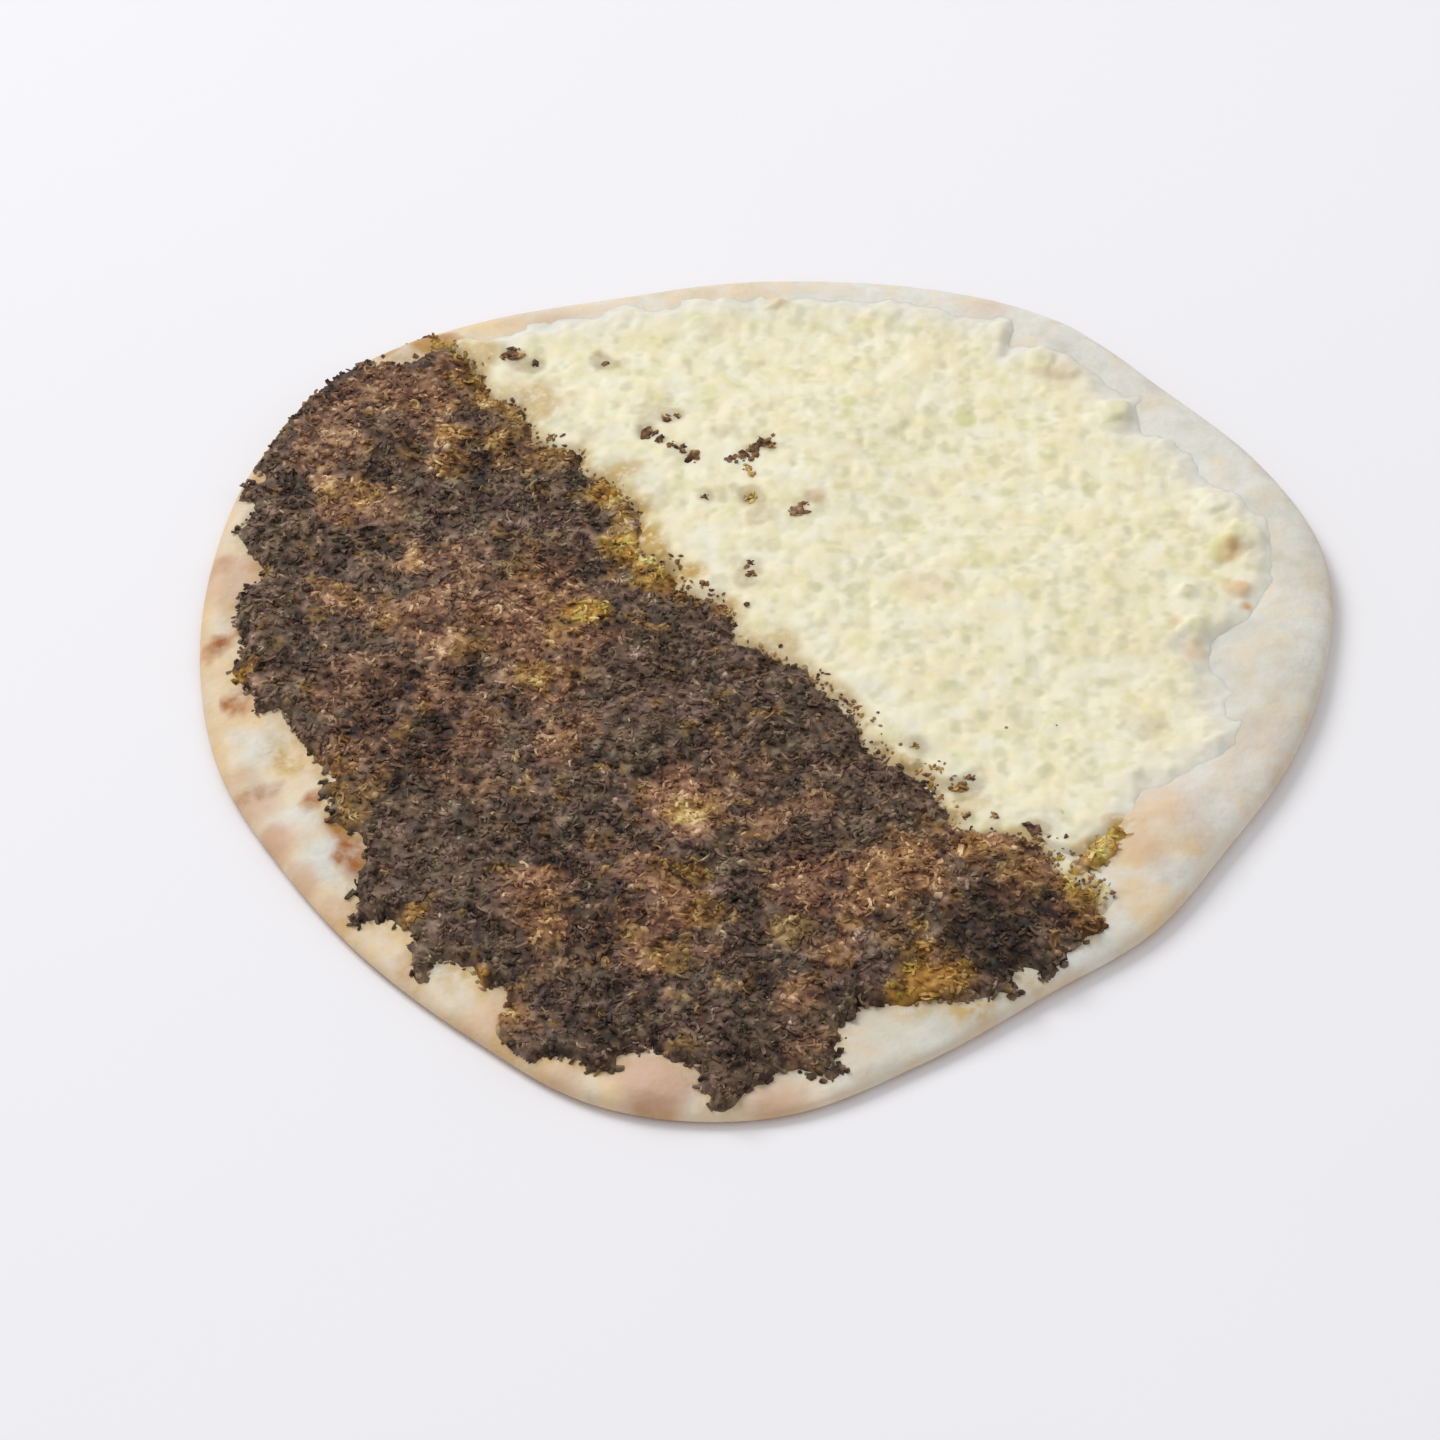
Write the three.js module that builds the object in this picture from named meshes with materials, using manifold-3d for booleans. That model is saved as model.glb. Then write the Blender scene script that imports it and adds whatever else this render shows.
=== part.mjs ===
// Manakish: a thin round flatbread, one half spread with zaatar, the other with crumbled white cheese.
// Millimetres, +Z up. The origin is under the middle of the bread, on the surface it rests on.
import * as THREE from 'three';
import { mergeVertices } from 'three/addons/utils/BufferGeometryUtils.js';
import Module from 'manifold-3d';

// ---- Driving dimensions: the dough ----
const RIM_RADII = [ // outline, every 15 degrees anticlockwise from +X
  128.8, 136.2, 136.9, 136.4, 141.3, 140.1, 137.9, 136.2, 141.2, 146.2, 141.6, 135.5,
  131.4, 129.1, 126.1, 127.2, 131.2, 138.9, 137.0, 125.9, 118.4, 118.6, 117.5, 122.2,
];
const RIM_HEIGHTS = [7.6, 7.4, 6.4, 5.2, 4.8, 4.4, 4.4, 6.0]; // crest of the rim, every 45 degrees
const SHOULDER_WIDTHS = [8.5, 8, 7, 5.5, 5, 4.5, 4.5, 6.5]; // rounded edge, every 45 degrees
const INNER_HEIGHT = 4.6; // dough under the toppings
const EQUATOR_SHARE = 0.4; // height of the outermost line, as a share of the rim's height
const UNDERCUT_WIDTH = 5; // how far in the underside curls up from the surface it rests on
const RIM_FLAT = 11; // the rim keeps its height this far in from the edge
const RIM_FALL = 15; // and falls to the inner height over this width
const WAVES = [ // slow unevenness: height, waves per metre along X and Y, phase
  [0.35, 9, 4, 0.6], [0.3, -5, 11, 2.1], [0.22, 17, -9, 4.0], [0.18, 13, 21, 5.2],
];
const BUBBLES = [ // baked blisters and one dip: X, Y, height, reach
  [-68, 14, 2.6, 21], [-39, 4, 2.2, 14], [-93, 78, 2.6, 14], [-16, -57, 2.2, 13],
  [28, -75, 3.0, 16], [-27, -76, 2.2, 11], [-51, -82, 2.2, 11], [51, -70, 2.6, 12],
  [-25, -129, 1.6, 8], [87, -57, 2.2, 13], [68, 108, 1.9, 10], [-29, -28, 1.7, 12],
  [12, 71, 1.2, 24], [71, 20, 1.4, 22], [-108, -12, 1.6, 10], [-115, 58, -1.4, 7],
];

// ---- Driving dimensions: the toppings ----
const SKIN_GAP = 0.3; // clearance between a topping and the dough
const DIVIDE_START = new THREE.Vector2(-80, 116); // line between the two halves
const DIVIDE_END = new THREE.Vector2(76, -86);
const DIVIDE_STEPS = [ // distance along the line, step towards the cheese
  [0, -1], [16, -1], [26, -4.5], [34, -1], [47, -6.5], [58, 0], [63, -4], [70, 0], [80, -1],
  [95, -9], [103, -6.5], [110, -9.5], [122, -5], [132, -9.5], [142, -3.5], [160, -4], [168, -4.5],
  [177, -9.4], [196, -4.7], [210, -9.4], [221, 3], [228, 2], [236, -1], [244, 2.5], [252, -2],
];
const ZAATAR_TONGUES = [ // degrees round the bread, bare dough left at tips and bays
  [110, 1], [155, 0.8], [156.5, 7], [161, 4.5], [166, 13], [173, 7.5], [177, 11], [182, 7.7],
  [186, 12], [190, 18], [201, 21.5], [207.5, 14.5], [213, 18.5], [222, 2], [225.5, 10.5],
  [228.5, 8], [232.5, 1.5], [236, 13.5], [239, 9.5], [240.5, 14.8], [243, 0.8], [248, 1],
  [250, 6.3], [255, 7], [257.5, 15.5], [261, 11.5], [264.5, 2], [266.5, 0.8], [268, 7.5],
  [272, 11], [275.5, 5], [279.5, 21.4], [287, 13], [292, 5.3], [297.5, 3], [300, 0.8],
  [303.5, 6], [308, 4.5], [314, 12],
];
const CHEESE_MARGINS = [ // degrees round the bread, bare dough left outside the cheese
  [-45, 34], [-42.5, 25], [-34, 21], [-28, 23], [-21.5, 16], [-15, 12], [-8, 19], [2.5, 28],
  [8, 19], [15, 15], [20, 12.5], [27, 14.5], [30, 17.8], [35, 13], [41, 17], [45, 11.5],
  [55, 11], [60.8, 16.5], [63, 10], [86, 10], [112, 7.8], [122, 8], [130, 12],
];
const CHEESE_SETBACK = 1.6; // dough left between the zaatar and the cheese
const ZAATAR_THICKNESS = 1.7;
const CHEESE_THICKNESS = 2.7;
const EDGE_THICKNESS = 0.7; // each topping at its outline
const EDGE_TAPER = 7; // distance over which it thickens
const ZAATAR_CENTRE = new THREE.Vector2(-45, -22);
const CHEESE_CENTRE = new THREE.Vector2(36, 42);
const OUTLINE_RAYS = 150;
const OUTLINE_STEP = 0.8;

const SEED_SIZE = [1.9, 1.25, 0.95]; // half length, width and height of a seed in the zaatar
const CURD_SIZE = [2.9, 2.4, 1.5]; // the same for a lump of cheese
const SEED_SITES = 350; // sites spread over the whole bread, of which each topping keeps its own
const CURD_SITES = 190;
const GRAIN_CLEARANCE = 3.2; // from a topping's outline
const CRUMBS = [ // dark crumbs of zaatar strewn on the cheese: X, Y, half length
  [-56.3, 101, 1.9], [-39.2, 102.3, 1.2], [-28, 75.4, 1.6], [-24, 80.9, 1.1], [-18.4, 67.4, 2],
  [-4, 67.4, 2.4], [-0.4, 70, 1.9], [-6.4, 64.9, 1.5], [-3.6, 56.7, 1.2], [7.7, 49.6, 1.8],
  [-4.9, 26, 1.6], [44.4, -42, 1.2], [98.1, 20.2, 1.1],
];
const CRUMB_WIDTH = 0.7; // of a crumb's length
const CRUMB_HEIGHT = 0.9;

// ---- Resolution ----
const SEGMENTS = 66; // round the bread
const INNER_RINGS = 10; // between the centre and the rounded edge
const SHOULDER_RINGS = 4; // over the rounded edge
const OUTERMOST_RING = 2;
const BLOCK_DEPTH = 20; // of the blocks that the skins are cut from
const RANDOM_SEED = 20417;

const wasm = await Module();
wasm.setup();
const { radToDeg, lerp, smoothstep } = THREE.MathUtils;
const FULL_TURN = Math.PI * 2;
const SEED_LUMP = new THREE.OctahedronGeometry(1, 0);
const CURD_LUMP = new THREE.IcosahedronGeometry(1, 0);

// ---- Curves through named values ----

// A closed smooth curve through evenly spaced values, read at an angle.
function aroundValue(values, angle) {
  const count = values.length;
  const place = (((angle / FULL_TURN) % 1) + 1) % 1 * count;
  const index = Math.floor(place);
  const t = place - index;
  const at = (offset) => values[(index + offset + count) % count];
  const [a, b, c, d] = [at(-1), at(0), at(1), at(2)];
  return b + 0.5 * t * (c - a + t * (2 * a - 5 * b + 4 * c - d + t * (3 * (b - c) + d - a)));
}

// Pairs of place and value, joined by curves that are level at each pair.
function stepValue(pairs, place) {
  const next = pairs.findIndex((pair) => pair[0] > place);
  if (next === 0) return pairs[0][1];
  if (next < 0) return pairs[pairs.length - 1][1];
  const [before, after] = [pairs[next - 1], pairs[next]];
  return lerp(before[1], after[1], smoothstep(place, before[0], after[0]));
}

// Degrees of an angle, counted up from a first value.
function degreesFrom(first, angle) {
  const degrees = radToDeg(angle) - first;
  return first + (((degrees % 360) + 360) % 360);
}

// ---- The dough's form ----

const rimRadius = (angle) => aroundValue(RIM_RADII, angle);
const shoulderWidth = (angle) => aroundValue(SHOULDER_WIDTHS, angle);
const equatorHeight = (angle) => EQUATOR_SHARE * aroundValue(RIM_HEIGHTS, angle);

// Height of the dough before its edge is rounded off.
function doughBody(x, y) {
  const angle = Math.atan2(y, x);
  const inset = rimRadius(angle) - Math.hypot(x, y);
  const rim = 1 - smoothstep(inset, RIM_FLAT, RIM_FLAT + RIM_FALL);
  let height = lerp(INNER_HEIGHT, aroundValue(RIM_HEIGHTS, angle), rim);
  for (const [size, alongX, alongY, phase] of WAVES) {
    height += size * Math.sin(FULL_TURN * (alongX * x + alongY * y) / 1000 + phase);
  }
  for (const [bx, by, size, reach] of BUBBLES) {
    height += size * Math.exp(-((x - bx) ** 2 + (y - by) ** 2) / reach ** 2);
  }
  return height;
}

// Radius and roundness of a ring: 0 to 1 runs from the centre to the shoulder, 1 to 2 over it.
function ringPlace(ring, angle) {
  const shoulder = shoulderWidth(angle);
  const flat = rimRadius(angle) - shoulder;
  if (ring <= 1) return { radius: ring * flat, roundness: 1 };
  const turn = (ring - 1) * Math.PI / 2;
  return { radius: flat + shoulder * Math.sin(turn), roundness: Math.cos(turn) };
}

function topHeight(x, y, roundness) {
  const angle = Math.atan2(y, x);
  return lerp(equatorHeight(angle), doughBody(x, y), roundness);
}

function undersideHeight(x, y) {
  const angle = Math.atan2(y, x);
  const inset = rimRadius(angle) - Math.hypot(x, y);
  const across = Math.min(Math.max(inset / UNDERCUT_WIDTH, 0), 1);
  return equatorHeight(angle) * (1 - Math.sqrt(1 - (1 - across) ** 2));
}

// ---- Where each topping lies ----

// Distance along the dividing line, and sideways from it towards the cheese.
function dividePlace(x, y) {
  const line = DIVIDE_END.clone().sub(DIVIDE_START).normalize();
  const from = new THREE.Vector2(x, y).sub(DIVIDE_START);
  return { along: from.dot(line), side: from.dot(new THREE.Vector2(-line.y, line.x)) };
}

// Both give a rough distance inside the topping's outline, negative outside it.
function zaatarDepth(x, y) {
  const angle = Math.atan2(y, x);
  const { along, side } = dividePlace(x, y);
  const margin = stepValue(ZAATAR_TONGUES, degreesFrom(ZAATAR_TONGUES[0][0], angle));
  return Math.min(stepValue(DIVIDE_STEPS, along) - side, rimRadius(angle) - margin - Math.hypot(x, y));
}

function cheeseDepth(x, y) {
  const angle = Math.atan2(y, x);
  const { along, side } = dividePlace(x, y);
  const margin = stepValue(CHEESE_MARGINS, degreesFrom(CHEESE_MARGINS[0][0], angle));
  const edge = stepValue(DIVIDE_STEPS, along) + CHEESE_SETBACK;
  return Math.min(side - edge, rimRadius(angle) - margin - Math.hypot(x, y));
}

function toppingThickness(depth, full) {
  return lerp(EDGE_THICKNESS, full, smoothstep(depth, 0, EDGE_TAPER));
}

// The outline that rays from an inner point find.
function traceOutline(centre, depthAt) {
  const points = [];
  for (let ray = 0; ray < OUTLINE_RAYS; ray += 1) {
    const angle = FULL_TURN * ray / OUTLINE_RAYS;
    const along = new THREE.Vector2(Math.cos(angle), Math.sin(angle));
    let reach = 0;
    while (depthAt(centre.x + along.x * reach, centre.y + along.y * reach) > 0) reach += OUTLINE_STEP;
    points.push(centre.clone().addScaledVector(along, reach - OUTLINE_STEP / 2));
  }
  return points;
}

// ---- Solids ----

function toManifold(geometry) {
  geometry.deleteAttribute('normal');
  geometry.deleteAttribute('uv');
  const merged = mergeVertices(geometry, 1e-4);
  const index = merged.index.array;
  const corners = [];
  for (let i = 0; i < index.length; i += 3) {
    const [a, b, c] = [index[i], index[i + 1], index[i + 2]];
    if (a !== b && b !== c && c !== a) corners.push(a, b, c);
  }
  const vertProperties = new Float32Array(merged.attributes.position.array);
  const triVerts = new Uint32Array(corners);
  return new wasm.Manifold(new wasm.Mesh({ numProp: 3, vertProperties, triVerts }));
}

function toGeometry(manifold) {
  const mesh = manifold.getMesh();
  const geometry = new THREE.BufferGeometry();
  geometry.setAttribute('position', new THREE.BufferAttribute(new Float32Array(mesh.vertProperties), 3));
  geometry.setIndex(new THREE.BufferAttribute(new Uint32Array(mesh.triVerts), 1));
  geometry.computeVertexNormals();
  return geometry;
}

// A turned profile whose rings are then moved to the bread's own outline and heights.
// Each profile point is a ring and a level, from the underside's centre to the top's.
function shapedLathe(profile, heightAt) {
  const turned = profile.map(([ring, level]) => new THREE.Vector2(ring, level));
  const geometry = new THREE.LatheGeometry(turned, SEGMENTS);
  geometry.rotateX(Math.PI / 2);
  const position = geometry.attributes.position;
  for (let i = 0; i < position.count; i += 1) {
    const angle = Math.atan2(position.getY(i), position.getX(i));
    const { radius, roundness } = ringPlace(Math.hypot(position.getX(i), position.getY(i)), angle);
    const [x, y] = [radius * Math.cos(angle), radius * Math.sin(angle)];
    position.setXYZ(i, x, y, heightAt(x, y, roundness, position.getZ(i)));
  }
  return toManifold(geometry);
}

// Rings from the centre to the outer edge.
function ringSequence() {
  const inner = Array.from({ length: INNER_RINGS }, (_, i) => i / INNER_RINGS);
  const outer = Array.from({ length: SHOULDER_RINGS + 1 }, (_, i) => 1 + i / SHOULDER_RINGS);
  return [...inner, ...outer];
}

function makeDough() {
  const rings = ringSequence();
  const underside = rings.filter((ring) => ring >= 1 && ring < OUTERMOST_RING).map((ring) => [ring, 0]);
  const top = rings.map((ring) => [ring, 1]).reverse();
  const profile = [[0, 0], ...underside, ...top];
  return shapedLathe(profile, (x, y, roundness, level) => (
    level > 0.5 ? topHeight(x, y, roundness) : undersideHeight(x, y)));
}

// A block up to a surface over the bread, from a flat bottom well below it.
function makeBlock(bottom, surfaceAt) {
  const profile = [[0, 0], [OUTERMOST_RING, 0], ...ringSequence().map((ring) => [ring, 1]).reverse()];
  return shapedLathe(profile, (x, y, roundness, level) => (
    level > 0.5 ? surfaceAt(x, y, roundness) : bottom));
}

// A skin over the dough, cut to its outline.
function makeTopping(centre, depthAt, full) {
  const underside = (x, y, roundness) => topHeight(x, y, roundness) + SKIN_GAP;
  const top = (x, y, roundness) => underside(x, y, roundness) + toppingThickness(depthAt(x, y), full);
  const skin = makeBlock(-BLOCK_DEPTH, top).subtract(makeBlock(-2 * BLOCK_DEPTH, underside));
  const outline = new THREE.Shape(traceOutline(centre, depthAt));
  const cutter = new THREE.ExtrudeGeometry(outline, { depth: 3 * BLOCK_DEPTH, bevelEnabled: false });
  cutter.translate(0, 0, -BLOCK_DEPTH);
  return skin.intersect(toManifold(cutter));
}

function seededRandom(seed) {
  let state = seed;
  return () => {
    state = (state * 1664525 + 1013904223) % 4294967296;
    return state / 4294967296;
  };
}

// A small lump lying on a topping, sized and turned by random draws.
function makeGrain(lump, x, y, size, topAt, random) {
  const geometry = lump.clone();
  const growth = lerp(0.8, 1.25, random());
  geometry.scale(size[0] * growth, size[1] * growth, size[2] * growth);
  geometry.rotateY(lerp(-0.2, 0.2, random()));
  geometry.rotateZ(FULL_TURN * random());
  geometry.translate(x, y, topAt(x, y));
  return toManifold(geometry);
}

// Sites spread evenly by the golden angle, kept where the topping is wide enough.
function spreadSites(count, depthAt, random) {
  const golden = Math.PI * (3 - Math.sqrt(5));
  const sites = [];
  for (let i = 0; i < count; i += 1) {
    const angle = i * golden;
    const radius = rimRadius(angle) * Math.sqrt((i + 0.5) / count);
    const x = radius * Math.cos(angle) + lerp(-2, 2, random());
    const y = radius * Math.sin(angle) + lerp(-2, 2, random());
    if (depthAt(x, y) > GRAIN_CLEARANCE) sites.push([x, y]);
  }
  return sites;
}

function fuseGrains(body, grains) {
  return grains.reduce((whole, grain) => whole.add(grain), body);
}

function surfaceOf(depthAt, full) {
  return (x, y) => doughBody(x, y) + SKIN_GAP + toppingThickness(depthAt(x, y), full);
}

function makeZaatar() {
  const random = seededRandom(RANDOM_SEED);
  const topAt = surfaceOf(zaatarDepth, ZAATAR_THICKNESS);
  const body = makeTopping(ZAATAR_CENTRE, zaatarDepth, ZAATAR_THICKNESS);
  const sites = spreadSites(SEED_SITES, zaatarDepth, random);
  const makeSeed = ([x, y]) => makeGrain(SEED_LUMP, x, y, SEED_SIZE, topAt, random);
  return fuseGrains(body, sites.map(makeSeed));
}

function makeCheese() {
  const random = seededRandom(RANDOM_SEED + 1);
  const topAt = surfaceOf(cheeseDepth, CHEESE_THICKNESS);
  const body = makeTopping(CHEESE_CENTRE, cheeseDepth, CHEESE_THICKNESS);
  const sites = spreadSites(CURD_SITES, cheeseDepth, random);
  const makeCurd = ([x, y]) => makeGrain(CURD_LUMP, x, y, CURD_SIZE, topAt, random);
  const makeCrumb = ([x, y, half]) => makeGrain(
    SEED_LUMP, x, y, [half, CRUMB_WIDTH * half, CRUMB_HEIGHT], topAt, random);
  return fuseGrains(body, [...sites.map(makeCurd), ...CRUMBS.map(makeCrumb)]);
}

// ---- The scene graph ----

function addMesh(group, name, solid, color, roughness) {
  const material = new THREE.MeshStandardMaterial({ color, roughness, metalness: 0 });
  const mesh = new THREE.Mesh(toGeometry(solid), material);
  mesh.name = name;
  group.add(mesh);
}

const manakish = new THREE.Group();
addMesh(manakish, 'flatbread', makeDough(), 0xe9dfc4, 0.85);
addMesh(manakish, 'zaatar_topping', makeZaatar(), 0x4c3a2b, 0.75);
addMesh(manakish, 'cheese_topping', makeCheese(), 0xe6e1c2, 0.6);

export default manakish;
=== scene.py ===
"""Manakish, half zaatar and half cheese: the looks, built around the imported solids.

All sizes in the classes are millimetres, in the frame's own axes; meshes are written in metres.
Rows are tables of such sizes. Where they name places on the bread, each starts with X and Y.
"""
from __future__ import annotations

import logging
import math
from dataclasses import dataclass
from enum import Enum
from typing import Callable

import bpy
import numpy as np
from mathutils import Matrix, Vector


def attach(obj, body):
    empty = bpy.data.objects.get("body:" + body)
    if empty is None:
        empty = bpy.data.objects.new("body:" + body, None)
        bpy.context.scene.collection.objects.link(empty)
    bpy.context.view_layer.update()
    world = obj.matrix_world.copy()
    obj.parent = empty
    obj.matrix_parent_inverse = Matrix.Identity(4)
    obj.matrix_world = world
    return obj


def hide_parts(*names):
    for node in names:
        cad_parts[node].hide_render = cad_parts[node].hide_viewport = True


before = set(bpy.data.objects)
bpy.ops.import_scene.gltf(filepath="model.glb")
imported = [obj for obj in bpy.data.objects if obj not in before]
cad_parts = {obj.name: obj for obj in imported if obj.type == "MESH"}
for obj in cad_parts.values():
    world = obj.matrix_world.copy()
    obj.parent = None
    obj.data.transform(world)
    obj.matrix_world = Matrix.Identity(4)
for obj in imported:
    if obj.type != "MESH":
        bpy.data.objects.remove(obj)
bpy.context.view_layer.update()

MM = 0.001
BODY = "root"
CEILING = 11.15  # just under the solids' highest point
LATTICE = 256  # cells of seeded noise before it repeats
NOISE_SHIFT = (100.37, 100.71)  # keeps the noise's cells above 0 all over the bread
LUMP_SHIFT = 100.0
LUMP_PLACES = (0.1, 0.9)  # where a lump's middle may lie in its cell
LUMP_RADII = (0.55, 1.05)
LUMP_HEIGHTS = (0.3, 1.0)
PATCH_EDGE_SIZE = 9.0
PATCH_CORE = 0.35  # a patch is whole up to this share of its reach
PATCH_END = 1.15  # and gone at this one
CAST_EDGE = 0.9  # strewn bits stay this far inside the rim
SOFT_ANGLE = math.radians(60.0)  # edges flatter than this are shaded smooth
Colour = tuple[float, float, float]
Rows = tuple[tuple[float, ...], ...]
Weight = Callable[[np.ndarray, np.ndarray], np.ndarray]
log = logging.getLogger("manakish")


class Slot(Enum):
    """The record's material slots."""

    DOUGH = "dough"
    ZAATAR = "zaatar"
    CHEESE = "cheese"


# ---------------------------------------------------------------- curves, noise and colour


def smooth(value: np.ndarray, low: float | np.ndarray, high: float | np.ndarray) -> np.ndarray:
    """Rise from 0 at low to 1 at high, level at both ends.

    Args:
        value: where to read the curve.
        low: the value at which it leaves 0.
        high: the value at which it reaches 1.

    Returns:
        The curve's height, from 0 to 1.
    """
    t = np.clip((value - low) / (high - low), 0.0, 1.0)
    return t * t * (3.0 - 2.0 * t)


def around(values: tuple[float, ...], angle: np.ndarray) -> np.ndarray:
    """Read a closed smooth curve through evenly spaced values.

    Args:
        values: the values, from angle 0 anticlockwise.
        angle: radians.

    Returns:
        The curve's value at each angle.
    """
    table = np.array(values)
    count = len(table)
    place = np.mod(angle / math.tau, 1.0) * count
    index = np.floor(place).astype(int)
    t = place - index
    a, b, c, d = (table[(index + k) % count] for k in (-1, 0, 1, 2))
    return b + 0.5 * t * (c - a + t * (2 * a - 5 * b + 4 * c - d + t * (3 * (b - c) + d - a)))


def steps(pairs: Rows, place: np.ndarray) -> np.ndarray:
    """Read a curve through pairs of place and value that is level at each pair.

    Args:
        pairs: places in rising order, each with its value.
        place: where to read the curve.

    Returns:
        The curve's value at each place.
    """
    places = np.array([pair[0] for pair in pairs])
    values = np.array([pair[1] for pair in pairs])
    after = np.clip(np.searchsorted(places, place, side="right"), 1, len(pairs) - 1)
    t = smooth(place, places[after - 1], places[after])
    return values[after - 1] + t * (values[after] - values[after - 1])


def value_noise(x: np.ndarray, y: np.ndarray, size: float, seed: int) -> np.ndarray:
    """Smooth seeded noise over the plane.

    Args:
        x: millimetres.
        y: millimetres.
        size: width of one cell of the noise, in millimetres.
        seed: which noise it is.

    Returns:
        Noise between about -1 and 1.
    """
    lattice = np.random.default_rng(seed).uniform(-1.0, 1.0, (LATTICE, LATTICE))
    gx, gy = x / size + NOISE_SHIFT[0], y / size + NOISE_SHIFT[1]
    ix, iy = np.floor(gx).astype(int), np.floor(gy).astype(int)
    tx, ty = smooth(gx - ix, 0.0, 1.0), smooth(gy - iy, 0.0, 1.0)

    def corner(dx: int, dy: int) -> np.ndarray:
        """The lattice's value at one corner of each place's cell."""
        return lattice[(ix + dx) % LATTICE, (iy + dy) % LATTICE]

    low = corner(0, 0) * (1 - tx) + corner(1, 0) * tx
    high = corner(0, 1) * (1 - tx) + corner(1, 1) * tx
    return low * (1 - ty) + high * ty


def layered_noise(x: np.ndarray, y: np.ndarray, size: float, seed: int, octaves: int = 3) -> np.ndarray:
    """Value noise summed over octaves, each half the size and half the height of the last."""
    parts = [value_noise(x, y, size / 2**k, seed + k) / 2**k for k in range(octaves)]
    return np.sum(parts, axis=0)


def lumps(x: np.ndarray, y: np.ndarray, pitch: float, seed: int, softness: float = 0.2) -> np.ndarray:
    """Rounded lumps of uneven size, one in each cell, that run into each other.

    Args:
        x: millimetres.
        y: millimetres.
        pitch: distance between the lumps' middles.
        seed: which lumps they are.
        softness: how wide the creases between them are filled.

    Returns:
        Height of the lumps, from 0 to about 1.
    """
    draw = np.random.default_rng(seed)
    shift_x, shift_y = draw.uniform(*LUMP_PLACES, (2, LATTICE, LATTICE))
    radius = draw.uniform(*LUMP_RADII, (LATTICE, LATTICE))
    height = draw.uniform(*LUMP_HEIGHTS, (LATTICE, LATTICE))
    gx, gy = x / pitch + LUMP_SHIFT, y / pitch + LUMP_SHIFT
    ix, iy = np.floor(gx).astype(int), np.floor(gy).astype(int)
    total = np.ones_like(x)
    for dx in (-1, 0, 1):
        for dy in (-1, 0, 1):
            cell = (ix + dx) % LATTICE, (iy + dy) % LATTICE
            away = np.hypot(gx - ix - dx - shift_x[cell], gy - iy - dy - shift_y[cell]) / radius[cell]
            total += np.exp(height[cell] * (1.0 - away**2) / softness)
    return softness * np.log(total)


def layered_lumps(x: np.ndarray, y: np.ndarray, layers: Rows) -> np.ndarray:
    """Lumps of several sizes on top of each other: each layer is a share, a pitch and a seed."""
    return np.sum([share * lumps(x, y, pitch, int(seed)) for share, pitch, seed in layers], axis=0)


def patches(x: np.ndarray, y: np.ndarray, spots: Rows, ragged: float = 0.5, seed: int = 5) -> np.ndarray:
    """Soft uneven patches at named places.

    Args:
        x: millimetres.
        y: millimetres.
        spots: each patch's X, Y, reach and strength.
        ragged: how far noise moves the patches' edges, as a share of their reach.
        seed: of that noise.

    Returns:
        The patches' strength, from 0 to 1.
    """
    total = np.zeros_like(x)
    wobble = layered_noise(x, y, PATCH_EDGE_SIZE, seed)
    for px, py, reach, strength in spots:
        away = np.hypot(x - px, y - py) / reach + ragged * wobble
        total = np.maximum(total, strength * (1.0 - smooth(away, PATCH_CORE, PATCH_END)))
    return np.clip(total, 0.0, 1.0)


def from_srgb(red: int, green: int, blue: int) -> Colour:
    """Turn a colour as a monitor shows it into the linear values that Blender's sockets take.

    Args:
        red: 0 to 255.
        green: 0 to 255.
        blue: 0 to 255.

    Returns:
        The linear colour.
    """
    def channel(value: int) -> float:
        """One part of the colour, by the standard curve of monitors."""
        share = value / 255.0
        return share / 12.92 if share <= 0.04045 else ((share + 0.055) / 1.055) ** 2.4

    return channel(red), channel(green), channel(blue)


# ---------------------------------------------------------------- the bread's form


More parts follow.
